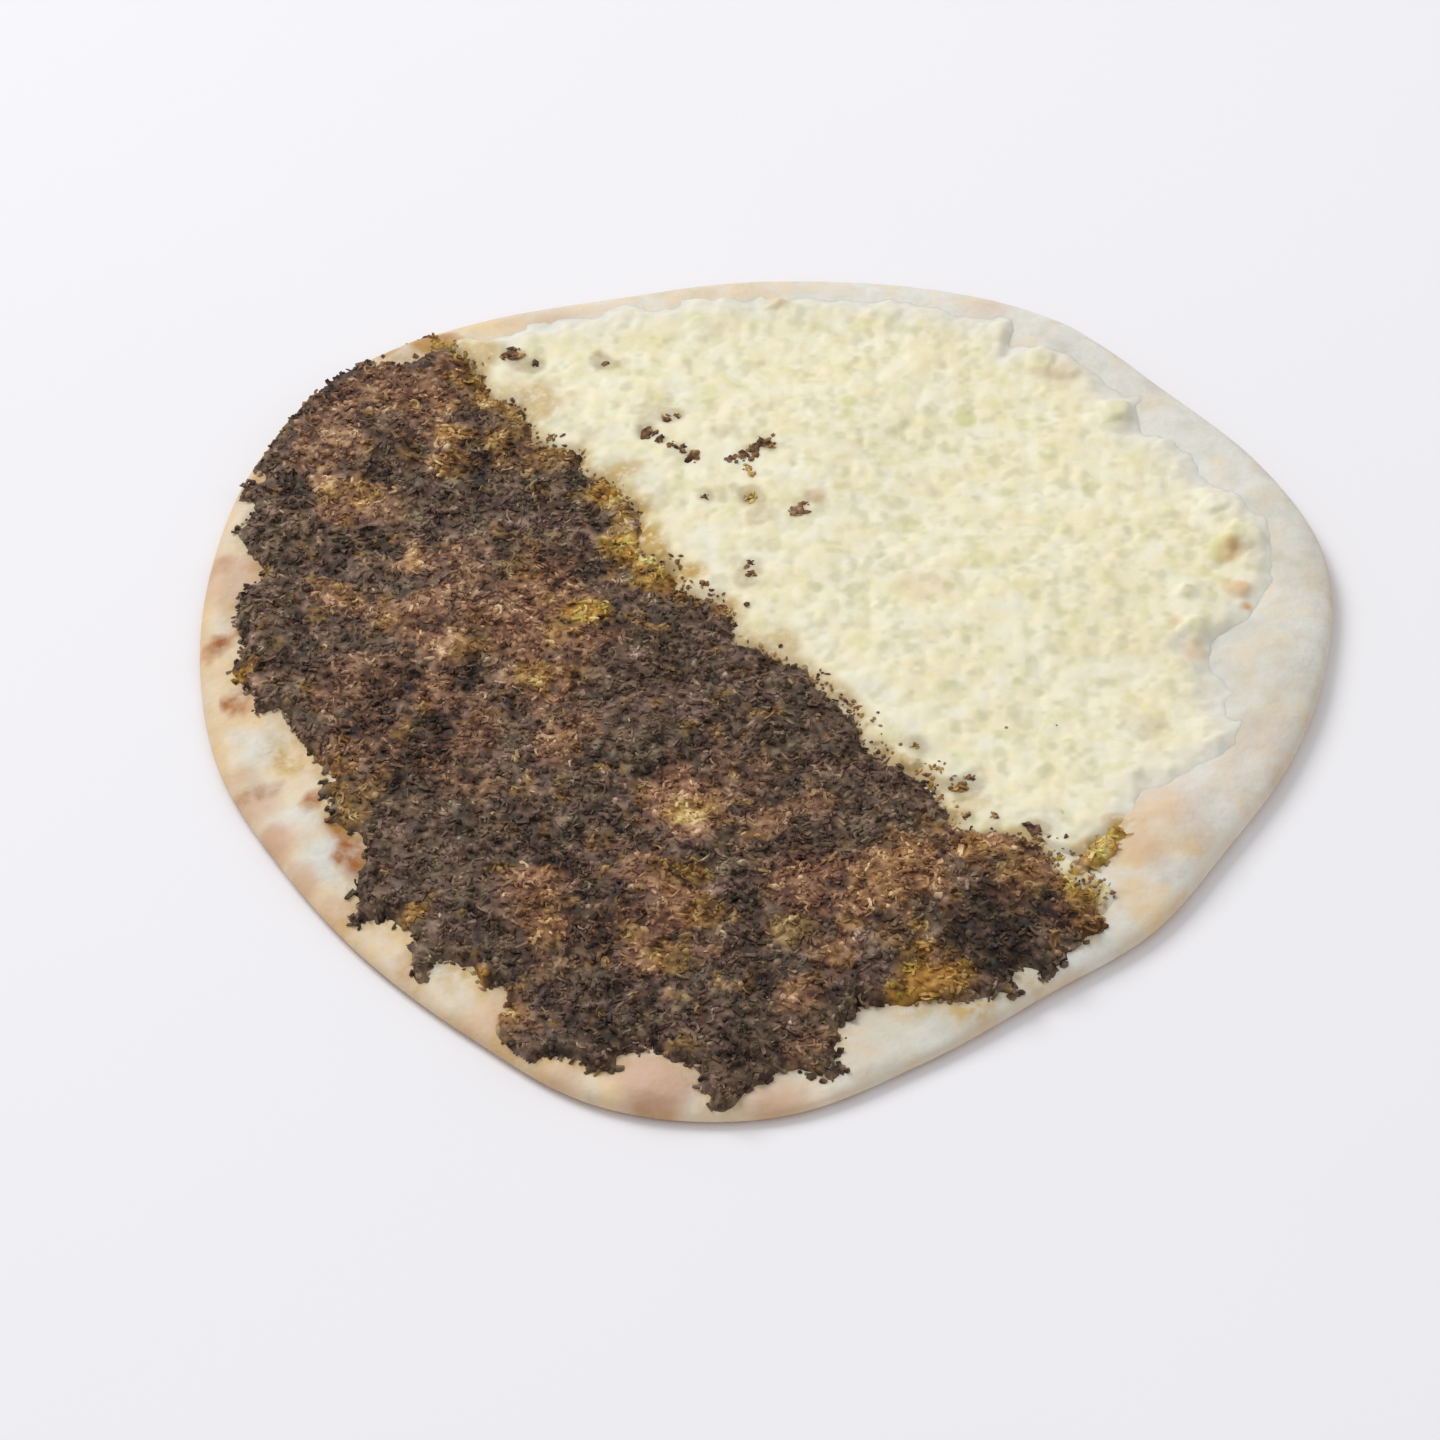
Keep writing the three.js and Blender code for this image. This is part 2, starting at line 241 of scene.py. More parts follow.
@dataclass(frozen=True)
class BreadForm:
    """The named sizes that the solids are made from, and the surfaces that they give.

    Waves are height, turns a metre along X and Y, and phase. Bubbles are X, Y, height and reach.
    The steps give a distance along the line between the halves and a shift to the side, the nudges
    X, Y, reach and shift, and the tongues and margins an angle and a distance from the rim.
    """

    rim_radii: tuple[float, ...] = (
        128.8, 136.2, 136.9, 136.4, 141.3, 140.1, 137.9, 136.2, 141.2, 146.2, 141.6, 135.5,
        131.4, 129.1, 126.1, 127.2, 131.2, 138.9, 137.0, 125.9, 118.4, 118.6, 117.5, 122.2)
    rim_heights: tuple[float, ...] = (7.6, 7.4, 6.4, 5.2, 4.8, 4.4, 4.4, 6.0)
    shoulder_widths: tuple[float, ...] = (8.5, 8, 7, 5.5, 5, 4.5, 4.5, 6.5)
    inner_height: float = 4.6
    equator_share: float = 0.4
    undercut_width: float = 5.0
    rim_flat: float = 11.0
    rim_fall: float = 15.0
    inset: float = 0.3
    waves: Rows = (
        (0.35, 9, 4, 0.6), (0.3, -5, 11, 2.1), (0.22, 17, -9, 4.0), (0.18, 13, 21, 5.2))
    bubbles: Rows = (
        (-68, 14, 2.6, 21), (-39, 4, 2.2, 14), (-93, 78, 2.6, 14), (-16, -57, 2.2, 13),
        (28, -75, 3.0, 16), (-27, -76, 2.2, 11), (-51, -82, 2.2, 11), (51, -70, 2.6, 12),
        (-25, -129, 1.6, 8), (87, -57, 2.2, 13), (68, 108, 1.9, 10), (-29, -28, 1.7, 12),
        (12, 71, 1.2, 24), (71, 20, 1.4, 22), (-108, -12, 1.6, 10), (-115, 58, -1.4, 7))
    divide_start: tuple[float, float] = (-80, 116)
    divide_end: tuple[float, float] = (76, -86)
    divide_steps: Rows = (
        (0, -1), (16, -1), (26, -4.5), (34, -1), (47, -6.5), (58, 0), (63, -4), (70, 0), (80, -1),
        (95, -9), (103, -6.5), (110, -9.5), (122, -5), (132, -9.5), (142, -3.5), (160, -4), (168, -4.5),
        (177, -9.4), (196, -4.7), (210, -9.4), (221, 3), (228, 2), (236, -1), (244, 2.5), (252, -2))
    divide_nudges: Rows = (
        (2, 0, 5.5, -2.2), (-10, 14, 4, -0.6), (6, -14, 5, -3.0), (19, -15, 3.5, 1.4),
        (26, -29, 5, 3.2), (34, -37, 5, 0.8), (48, -57, 5, -2.6), (54, -59, 6, -3.4), (-34, 44, 6, 0.8),
        (-20, 25, 5, -0.8), (-57, 78, 5, 1.6))
    zaatar_tongues: Rows = (
        (110, 1), (155, 0.8), (156.5, 7), (161, 4.5), (166, 13), (173, 7.5), (177, 11), (182, 7.7),
        (186, 12), (190, 18), (201, 21.5), (207.5, 14.5), (213, 18.5), (222, 2), (225.5, 10.5),
        (228.5, 8), (232.5, 1.5), (236, 13.5), (239, 9.5), (240.5, 14.8), (243, 0.8), (248, 1),
        (250, 6.3), (255, 7), (257.5, 15.5), (261, 11.5), (264.5, 2), (266.5, 0.8), (268, 7.5),
        (272, 11), (275.5, 5), (279.5, 21.4), (287, 13), (292, 5.3), (297.5, 3), (300, 0.8), (303.5, 6),
        (308, 4.5), (314, 12))
    cheese_margins: Rows = (
        (-45, 34), (-42.5, 25), (-34, 21), (-28, 23), (-21.5, 16), (-15, 12), (-8, 19), (2.5, 28),
        (8, 19), (15, 15), (20, 12.5), (27, 14.5), (30, 17.8), (35, 13), (41, 17), (45, 11.5), (55, 11),
        (60.8, 16.5), (63, 10), (86, 10), (112, 7.8), (122, 8), (130, 12))
    cheese_setback: float = 1.6

    def rim(self, angle: np.ndarray) -> np.ndarray:
        """The outline's radius at each angle."""
        return around(self.rim_radii, angle) - self.inset

    def equator(self, angle: np.ndarray) -> np.ndarray:
        """Height of the outermost line of the rim."""
        return self.equator_share * around(self.rim_heights, angle)

    def inset_from_rim(self, x: np.ndarray, y: np.ndarray) -> np.ndarray:
        """Distance inwards from the outline."""
        return self.rim(np.arctan2(y, x)) - np.hypot(x, y)

    def dough(self, x: np.ndarray, y: np.ndarray) -> np.ndarray:
        """Height of the dough's top before its edge is rounded off.

        Args:
            x: millimetres.
            y: millimetres.

        Returns:
            The height, in millimetres.
        """
        angle = np.arctan2(y, x)
        rim = 1.0 - smooth(self.inset_from_rim(x, y), self.rim_flat, self.rim_flat + self.rim_fall)
        height = self.inner_height + rim * (around(self.rim_heights, angle) - self.inner_height)
        for size, along_x, along_y, phase in self.waves:
            height = height + size * np.sin(math.tau * (along_x * x + along_y * y) / 1000 + phase)
        for bx, by, size, reach in self.bubbles:
            height = height + size * np.exp(-((x - bx) ** 2 + (y - by) ** 2) / reach**2)
        return height

    def top(self, x: np.ndarray, y: np.ndarray) -> np.ndarray:
        """Height of the dough's top, with its rounded edge.

        Args:
            x: millimetres.
            y: millimetres.

        Returns:
            The height, in millimetres.
        """
        angle = np.arctan2(y, x)
        across = np.clip(self.inset_from_rim(x, y) / around(self.shoulder_widths, angle), 0.0, 1.0)
        roundness = np.sqrt(1.0 - (1.0 - across) ** 2)
        low = self.equator(angle)
        return low + roundness * (self.dough(x, y) - low)

    def underside(self, x: np.ndarray, y: np.ndarray) -> np.ndarray:
        """Height of the underside, flat in the middle and curled up at the edge."""
        across = np.clip(self.inset_from_rim(x, y) / self.undercut_width, 0.0, 1.0)
        return self.equator(np.arctan2(y, x)) * (1.0 - np.sqrt(1.0 - (1.0 - across) ** 2))

    def divide_place(self, x: np.ndarray, y: np.ndarray) -> tuple[np.ndarray, np.ndarray]:
        """Distance along the line between the halves, and sideways towards the cheese.

        Args:
            x: millimetres.
            y: millimetres.

        Returns:
            Both distances, in millimetres.
        """
        start, end = np.array(self.divide_start), np.array(self.divide_end)
        line = (end - start) / np.linalg.norm(end - start)
        dx, dy = x - start[0], y - start[1]
        sideways = dy * line[0] - dx * line[1]
        for nx, ny, reach, shift in self.divide_nudges:
            sideways = sideways - shift * np.exp(-((x - nx) ** 2 + (y - ny) ** 2) / reach**2)
        return dx * line[0] + dy * line[1], sideways

    def zaatar_depth(self, x: np.ndarray, y: np.ndarray) -> np.ndarray:
        """Rough distance inside the zaatar's outline, negative outside it.

        Args:
            x: millimetres.
            y: millimetres.

        Returns:
            The distance, in millimetres.
        """
        along, side = self.divide_place(x, y)
        degrees = np.mod(np.degrees(np.arctan2(y, x)) - self.zaatar_tongues[0][0], 360.0)
        margin = steps(self.zaatar_tongues, degrees + self.zaatar_tongues[0][0])
        return np.minimum(steps(self.divide_steps, along) - side, self.inset_from_rim(x, y) - margin)

    def cheese_depth(self, x: np.ndarray, y: np.ndarray) -> np.ndarray:
        """Rough distance inside the cheese's outline, negative outside it.

        Args:
            x: millimetres.
            y: millimetres.

        Returns:
            The distance, in millimetres.
        """
        along, side = self.divide_place(x, y)
        degrees = np.mod(np.degrees(np.arctan2(y, x)) - self.cheese_margins[0][0], 360.0)
        margin = steps(self.cheese_margins, degrees + self.cheese_margins[0][0])
        edge = steps(self.divide_steps, along) + self.cheese_setback
        return np.minimum(side - edge, self.inset_from_rim(x, y) - margin)


FORM = BreadForm()

# ---------------------------------------------------------------- modelling by hand


def deselect_all() -> None:
    """Leave edit mode and select nothing."""
    if bpy.context.object and bpy.context.object.mode != "OBJECT":
        bpy.ops.object.mode_set(mode="OBJECT")
    bpy.ops.object.select_all(action="DESELECT")


def take(obj: bpy.types.Object) -> None:
    """Select only this object and make it active.

    Args:
        obj: the object.
    """
    deselect_all()
    obj.select_set(True)
    bpy.context.view_layer.objects.active = obj


def named(name: str) -> bpy.types.Object:
    """Give the active object and its mesh a name.

    Args:
        name: the name.

    Returns:
        The object.
    """
    obj = bpy.context.object
    obj.name = name
    obj.data.name = name
    return obj


def read_points(obj: bpy.types.Object) -> np.ndarray:
    """Read where a mesh's points are.

    Args:
        obj: the piece.

    Returns:
        The points in millimetres, one row each.
    """
    flat = np.empty(len(obj.data.vertices) * 3)
    obj.data.vertices.foreach_get("co", flat)
    return flat.reshape(-1, 3) / MM


def write_points(obj: bpy.types.Object, points: np.ndarray) -> None:
    """Move the mesh's points to these places, in millimetres."""
    obj.data.vertices.foreach_set("co", (points * MM).ravel())
    obj.data.update()


def write_attribute(obj: bpy.types.Object, name: str, values: np.ndarray) -> None:
    """Store one number for each point, for a finish to read."""
    attribute = obj.data.attributes.new(name, "FLOAT", "POINT")
    attribute.data.foreach_set("value", values.astype(np.float32))


def apply_modifier(obj: bpy.types.Object, kind: str, **settings: object) -> None:
    """Add a modifier with these settings and apply it.

    Args:
        obj: the piece.
        kind: the modifier's type.
        settings: its properties.
    """
    take(obj)
    bpy.ops.object.modifier_add(type=kind)
    modifier = obj.modifiers[-1]
    for key, value in settings.items():
        setattr(modifier, key, value)
    bpy.ops.object.modifier_apply(modifier=modifier.name)


def delete_outside(obj: bpy.types.Object, depth: np.ndarray) -> None:
    """Delete the points whose depth is negative, in edit mode.

    Args:
        obj: the piece.
        depth: one number for each point.
    """
    take(obj)
    bpy.ops.object.mode_set(mode="EDIT")
    bpy.ops.mesh.select_mode(type="VERT")
    bpy.ops.mesh.select_all(action="DESELECT")
    bpy.ops.object.mode_set(mode="OBJECT")
    obj.data.vertices.foreach_set("select", depth < 0.0)
    bpy.ops.object.mode_set(mode="EDIT")
    bpy.ops.mesh.delete(type="VERT")
    bpy.ops.object.mode_set(mode="OBJECT")


def flood(cell: np.ndarray, start: np.ndarray) -> np.ndarray:
    """Find the cells that can be reached from the starting ones, from side to side.

    Args:
        cell: which cells may be entered, by row and column.
        start: where to start.

    Returns:
        Which cells are reached.
    """
    reached = start & cell
    while True:
        grown = np.pad(reached, 1)
        grown = (grown[1:-1, 1:-1] | grown[:-2, 1:-1] | grown[2:, 1:-1]
                 | grown[1:-1, :-2] | grown[1:-1, 2:]) & cell
        if np.array_equal(grown, reached):
            return reached
        reached = grown


def one_region(depth: np.ndarray) -> np.ndarray:
    """Choose the grid points of one clean region, without islands, holes or pinched corners.

    Args:
        depth: of each point of a square grid inside the outline, by row and column.

    Returns:
        Which points are kept.
    """
    inside = depth > 0.0
    deepest = np.unravel_index(np.argmax(depth), depth.shape)
    while True:
        cell = inside[:-1, :-1] & inside[1:, :-1] & inside[:-1, 1:] & inside[1:, 1:]
        border = np.ones_like(cell)
        border[1:-1, 1:-1] = False
        solid = ~flood(~cell, border)
        middle = np.zeros_like(cell)
        middle[deepest] = True
        wide = np.pad(flood(solid, middle), 1)
        first, second, third, fourth = wide[:-1, :-1], wide[1:, :-1], wide[:-1, 1:], wide[1:, 1:]
        corner_only = (first & fourth & ~second & ~third) | (second & third & ~first & ~fourth)
        kept = (first | second | third | fourth) & ~corner_only
        if np.array_equal(kept, inside):
            return kept
        inside = kept


def below_ceiling(height: np.ndarray, softness: float = 0.3) -> np.ndarray:
    """Press heights softly under the solids' own highest point."""
    return CEILING - softness * np.log1p(np.exp((CEILING - height) / softness))


def narrow_end(obj: bpy.types.Object, beyond: float, factors: tuple[float, float, float],
               lift: float = 0.0) -> None:
    """Scale and lift the end of a lump that is one unit in radius.

    Args:
        obj: the lump.
        beyond: where the end starts along X: past it on its own side of the middle.
        factors: scale of the end along X, Y and Z.
        lift: how far the end moves up.
    """
    take(obj)
    along = read_points(obj)[:, 0] * MM
    ends = along * math.copysign(1.0, beyond) > abs(beyond) - 0.01
    obj.data.vertices.foreach_set("select", ends)
    bpy.ops.object.mode_set(mode="EDIT")
    bpy.ops.mesh.select_mode(type="VERT")
    bpy.ops.transform.resize(value=factors, center_override=(0.0, 0.0, 0.0))
    bpy.ops.transform.translate(value=(0.0, 0.0, lift))
    bpy.ops.object.mode_set(mode="OBJECT")


def close_below(obj: bpy.types.Object, height: float) -> None:
    """Draw the edges of a sheet down to a flat underside and fill it.

    Args:
        obj: the sheet.
        height: of the underside, in millimetres.
    """
    take(obj)
    bpy.ops.object.mode_set(mode="EDIT")
    bpy.ops.mesh.select_mode(type="EDGE")
    bpy.ops.mesh.select_all(action="DESELECT")
    bpy.ops.mesh.select_non_manifold()
    bpy.ops.mesh.extrude_edges_move()
    bpy.ops.transform.resize(value=(1.0, 1.0, 0.0), center_override=(0.0, 0.0, height * MM))
    bpy.ops.mesh.fill(use_beauty=False)
    bpy.ops.mesh.select_all(action="SELECT")
    bpy.ops.mesh.normals_make_consistent(inside=False)
    bpy.ops.object.mode_set(mode="OBJECT")


def finish_piece(obj: bpy.types.Object, slot: Slot, material: bpy.types.Material, *nodes: str) -> None:
    """Dress a piece, put it on its body, hide the nodes of the frame that it replaces and log its
    triangles.

    Args:
        obj: the piece, with its place in its mesh.
        slot: the record's slot; not used.
        material: its finish.
        nodes: the nodes of the frame that it replaces.
    """
    obj.data.materials.clear()
    obj.data.materials.append(material)
    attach(obj, BODY)
    if nodes:
        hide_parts(*nodes)
    obj.data.calc_loop_triangles()
    log.info("%s: %d triangles", obj.name, len(obj.data.loop_triangles))


class Bit(Enum):
    """The small shapes that are strewn."""

    FLAKE = "dried leaf bit"
    GRAIN = "rounded grain"
    CURL = "curled leaf"
    SEED = "sesame seed"


@dataclass
class Lump:
    """One small shape, modelled once and copied many times into a single mesh.

    It is one unit in radius, and its copies are sized in millimetres.
    """

    points: np.ndarray
    faces: np.ndarray

    @classmethod
    def of(cls, obj: bpy.types.Object) -> Lump:
        """Take a modelled object's triangles and delete the object.

        Args:
            obj: the object.

        Returns:
            The lump.
        """
        apply_modifier(obj, "TRIANGULATE")
        points = read_points(obj) * MM
        faces = np.array([polygon.vertices[:] for polygon in obj.data.polygons])
        bpy.data.objects.remove(obj, do_unlink=True)
        return cls(points, faces)

    @classmethod
    def model(cls, bit: Bit) -> Lump:
        """Model one of the small shapes.

        Args:
            bit: which one.

        Returns:
            The lump.
        """
        deselect_all()
        makers = {Bit.FLAKE: cls.flake, Bit.GRAIN: cls.grain, Bit.CURL: cls.curl, Bit.SEED: cls.seed}
        return cls.of(makers[bit]())

    @staticmethod
    def flake() -> bpy.types.Object:
        """Model a dried leaf bit: a block narrowed at both ends and lifted at one.

        Returns:
            The object.
        """
        bpy.ops.mesh.primitive_cube_add(size=2.0)
        obj = named("flake_start")
        narrow_end(obj, 1.0, (1.0, 0.6, 0.7), 0.35)
        narrow_end(obj, -1.0, (1.0, 0.8, 0.8))
        return obj

    @staticmethod
    def grain() -> bpy.types.Object:
        """Model a rounded grain."""
        bpy.ops.mesh.primitive_ico_sphere_add(subdivisions=1, radius=1.0)
        return named("grain_start")

    @staticmethod
    def curl() -> bpy.types.Object:
        """Model a curled leaf: half of a ring, with its ends closed.

        Returns:
            The object.
        """
        bpy.ops.mesh.primitive_torus_add(major_segments=10, minor_segments=4, major_radius=1.0,
                                         minor_radius=0.3)
        obj = named("curl_start")
        behind = read_points(obj)[:, 1] * MM < -0.05
        delete_outside(obj, np.where(behind, -1.0, 1.0))
        bpy.ops.object.mode_set(mode="EDIT")
        bpy.ops.mesh.select_mode(type="EDGE")
        bpy.ops.mesh.select_all(action="DESELECT")
        bpy.ops.mesh.select_non_manifold()
        bpy.ops.mesh.edge_face_add()
        bpy.ops.object.mode_set(mode="OBJECT")
        return obj

    @staticmethod
    def seed() -> bpy.types.Object:
        """Model a sesame seed: a grain drawn out to a point at one end.

        Returns:
            The object.
        """
        bpy.ops.mesh.primitive_ico_sphere_add(subdivisions=2, radius=1.0)
        obj = named("seed_start")
        narrow_end(obj, 0.8, (1.0, 0.55, 0.7))
        narrow_end(obj, 0.4, (1.0, 0.8, 0.9))
        return obj


@dataclass
class Scatter:
    """Many copies of a lump, each with its own place, size, turn and tone."""

    seed: int
    places: np.ndarray
    sizes: np.ndarray
    tilt: float
    rough: float

    def turns(self, draw: np.random.Generator) -> np.ndarray:
        """Draw a rotation for each copy: any heading, and a tilt of up to the given radians.

        Args:
            draw: where the draws come from.

        Returns:
            A matrix for each copy.
        """
        count = len(self.places)
        heading = draw.uniform(0, math.tau, count)
        roll, pitch = draw.uniform(-self.tilt, self.tilt, (2, count))
        ch, sh, cr, sr, cp, sp = (f(a) for a in (heading, roll, pitch) for f in (np.cos, np.sin))
        zero, one = np.zeros(count), np.ones(count)
        turn_z = np.array([[ch, -sh, zero], [sh, ch, zero], [zero, zero, one]])
        turn_x = np.array([[one, zero, zero], [zero, cr, -sr], [zero, sr, cr]])
        turn_y = np.array([[cp, zero, sp], [zero, one, zero], [-sp, zero, cp]])
        return np.einsum("abn,bcn,cdn->nad", turn_x, turn_y, turn_z)

    def build(self, name: str, lump: Lump, attributes: dict[str, np.ndarray]) -> bpy.types.Object:
        """Join all the copies in one mesh.

        Args:
            name: the piece's name.
            lump: the shape that is copied.
            attributes: numbers for each copy, stored on its points.

        Returns:
            The piece.
        """
        draw = np.random.default_rng(self.seed)
        count, corners = len(self.places), len(lump.points)
        shapes = lump.points[None] * (1.0 + draw.normal(0.0, self.rough, (count, corners, 3)))
        shapes = np.einsum("nij,npj->npi", self.turns(draw), shapes * self.sizes[:, None, :])
        points = shapes + self.places[:, None, :]
        points[:, :, 2] -= np.maximum(0.0, points[:, :, 2].max(axis=1) - CEILING)[:, None]
        points = points.reshape(-1, 3)
        faces = (lump.faces[None] + (np.arange(count) * corners)[:, None, None]).reshape(-1, 3)
        mesh = bpy.data.meshes.new(name)
        mesh.vertices.add(len(points))
        mesh.vertices.foreach_set("co", (points * MM).ravel())
        mesh.loops.add(faces.size)
        mesh.loops.foreach_set("vertex_index", faces.ravel().astype(np.int32))
        mesh.polygons.add(len(faces))
        mesh.polygons.foreach_set("loop_start", np.arange(0, faces.size, 3, dtype=np.int32))
        mesh.update(calc_edges=True)
        mesh.validate()
        obj = bpy.data.objects.new(name, mesh)
        bpy.context.collection.objects.link(obj)
        for key, values in attributes.items():
            write_attribute(obj, key, np.repeat(values, corners))
        return obj


def spread(weight: Weight, count: int, seed: int, tries: int = 8) -> tuple[np.ndarray, np.ndarray]:
    """Draw places on the bread, thicker where a weight is larger.

    Args:
        weight: share of the draws that is kept, as a function of X and Y.
        count: how many places at most.
        seed: of the draw.
        tries: draws for each place that is wanted.

    Returns:
        X and Y of the places.
    """
    draw = np.random.default_rng(seed)
    reach = max(FORM.rim_radii)
    x, y = draw.uniform(-reach, reach, (2, count * tries))
    kept = (draw.uniform(0, 1, len(x)) < weight(x, y)) & (FORM.inset_from_rim(x, y) > CAST_EDGE)
    keep = np.flatnonzero(kept)[:count]
    return x[keep], y[keep]


# ---------------------------------------------------------------- finishes


@dataclass(frozen=True)
class Cloud:
    """Noise stretched over a range: least where it is at or under low, most at or over high."""

    size: float
    detail: float = 3.0
    low: float = 0.3
    high: float = 0.7
    least: float = 0.0
    most: float = 1.0
    roughness: float = 0.55


class NodeSheet:
    """A material's node tree, filled in step by step."""

    def __init__(self, name: str) -> None:
        """Start a material with only its shader.

        Args:
            name: the material's name.
        """
        self.material = bpy.data.materials.new(name)
        self.material.use_nodes = True
        self.tree = self.material.node_tree
        self.shader = self.tree.nodes["Principled BSDF"]
        self.coordinates = self.tree.nodes.new("ShaderNodeTexCoord").outputs["Object"]

    def put(self, socket: bpy.types.NodeSocket, value: object) -> None:
        """Link a socket, or set its own value.

        Args:
            socket: the socket that takes it.
            value: a socket to link, or the value.
        """
        if isinstance(value, bpy.types.NodeSocket):
            self.tree.links.new(value, socket)
        else:
            socket.default_value = value

    def attribute(self, name: str) -> bpy.types.NodeSocket:
        """Read a number that is stored on the mesh.

        Args:
            name: of the attribute.

        Returns:
            The number.
        """
        node = self.tree.nodes.new("ShaderNodeAttribute")
        node.attribute_name = name
        return node.outputs["Fac"]

    def noise(self, size: float, detail: float = 3.0, roughness: float = 0.55) -> bpy.types.NodeSocket:
        """Add noise in the piece's own space.

        Args:
            size: width of its features, in millimetres.
            detail: how many finer layers it has.
            roughness: how strong these are.

        Returns:
            The noise, mostly between 0.3 and 0.7.
        """
        node = self.tree.nodes.new("ShaderNodeTexNoise")
        self.put(node.inputs["Vector"], self.coordinates)
        self.put(node.inputs["Scale"], 1.0 / (size * MM))
        self.put(node.inputs["Detail"], detail)
        self.put(node.inputs["Roughness"], roughness)
        return node.outputs["Fac"]

    def cloud(self, cloud: Cloud) -> bpy.types.NodeSocket:
        """Add noise that is stretched over a range and clamped to it.

        Args:
            cloud: its sizes.

        Returns:
            The stretched noise.
        """
        node = self.tree.nodes.new("ShaderNodeMapRange")
        self.put(node.inputs["Value"], self.noise(cloud.size, cloud.detail, cloud.roughness))
        self.put(node.inputs["From Min"], cloud.low)
        self.put(node.inputs["From Max"], cloud.high)
        self.put(node.inputs["To Min"], cloud.least)
        self.put(node.inputs["To Max"], cloud.most)
        return node.outputs["Result"]

    def math(self, operation: str, first: object, second: object) -> bpy.types.NodeSocket:
        """Take one arithmetic step on two values.

        Args:
            operation: Blender's name of the step.
            first: a number or a socket.
            second: a number or a socket.

        Returns:
            The result.
        """
        node = self.tree.nodes.new("ShaderNodeMath")
        node.operation = operation
        self.put(node.inputs[0], first)
        self.put(node.inputs[1], second)
        return node.outputs["Value"]

    def ramp(self, value: bpy.types.NodeSocket, places: tuple[float, ...],
             colours: tuple[Colour, ...]) -> bpy.types.NodeSocket:
        """Turn a value into a colour through named stops.

        Args:
            value: where on the ramp to read.
            places: of the stops, in rising order.
            colours: of the stops.

        Returns:
            The colour.
        """
        node = self.tree.nodes.new("ShaderNodeValToRGB")
        self.put(node.inputs["Fac"], value)
        elements = node.color_ramp.elements
        while len(elements) < len(places):
            elements.new(0.5)
        for element, place, colour in zip(elements, places, colours):
            element.position = place
            element.color = (*colour, 1.0)
        return node.outputs["Color"]

    def mix(self, share: object, first: object, second: object, blend: str = "MIX") -> bpy.types.NodeSocket:
        """Blend two colours.

        Args:
            share: how much of the second.
            first: a colour or a socket.
            second: a colour or a socket.
            blend: Blender's name of the blend.

        Returns:
            The blended colour.
        """
        node = self.tree.nodes.new("ShaderNodeMix")
        node.data_type = "RGBA"
        node.blend_type = blend
        self.put(node.inputs[0], share)
        for socket, colour in ((node.inputs[6], first), (node.inputs[7], second)):
            self.put(socket, (*colour, 1.0) if isinstance(colour, tuple) else colour)
        return node.outputs[2]

    def bump(self, size: float, detail: float, depth: float, under: object = None) -> bpy.types.NodeSocket:
        """Raise fine relief from noise, on top of another relief if one is given.

        Args:
            size: width of its features, in millimetres.
            detail: how many finer layers it has.
            depth: millimetres.
            under: the other relief.

        Returns:
            The normal.
        """
        node = self.tree.nodes.new("ShaderNodeBump")
        self.put(node.inputs["Distance"], depth * MM)
        self.put(node.inputs["Height"], self.noise(size, detail))
        if under is not None:
            self.put(node.inputs["Normal"], under)
        return node.outputs["Normal"]

    def dress(self, colour: bpy.types.NodeSocket, gloss: Cloud, normal: bpy.types.NodeSocket) -> None:
        """Link what varies over the surface to the shader.

        Args:
            colour: the base colour.
            gloss: the roughness.
            normal: the fine relief.
        """
        self.put(self.shader.inputs["Base Color"], colour)
        self.put(self.shader.inputs["Roughness"], self.cloud(gloss))
        self.put(self.shader.inputs["Normal"], normal)

    def constants(self, **values: object) -> None:
        """Set the shader's own sockets: underscores in the names stand for spaces."""
        for key, value in values.items():
            self.put(self.shader.inputs[key.replace("_", " ")], value)


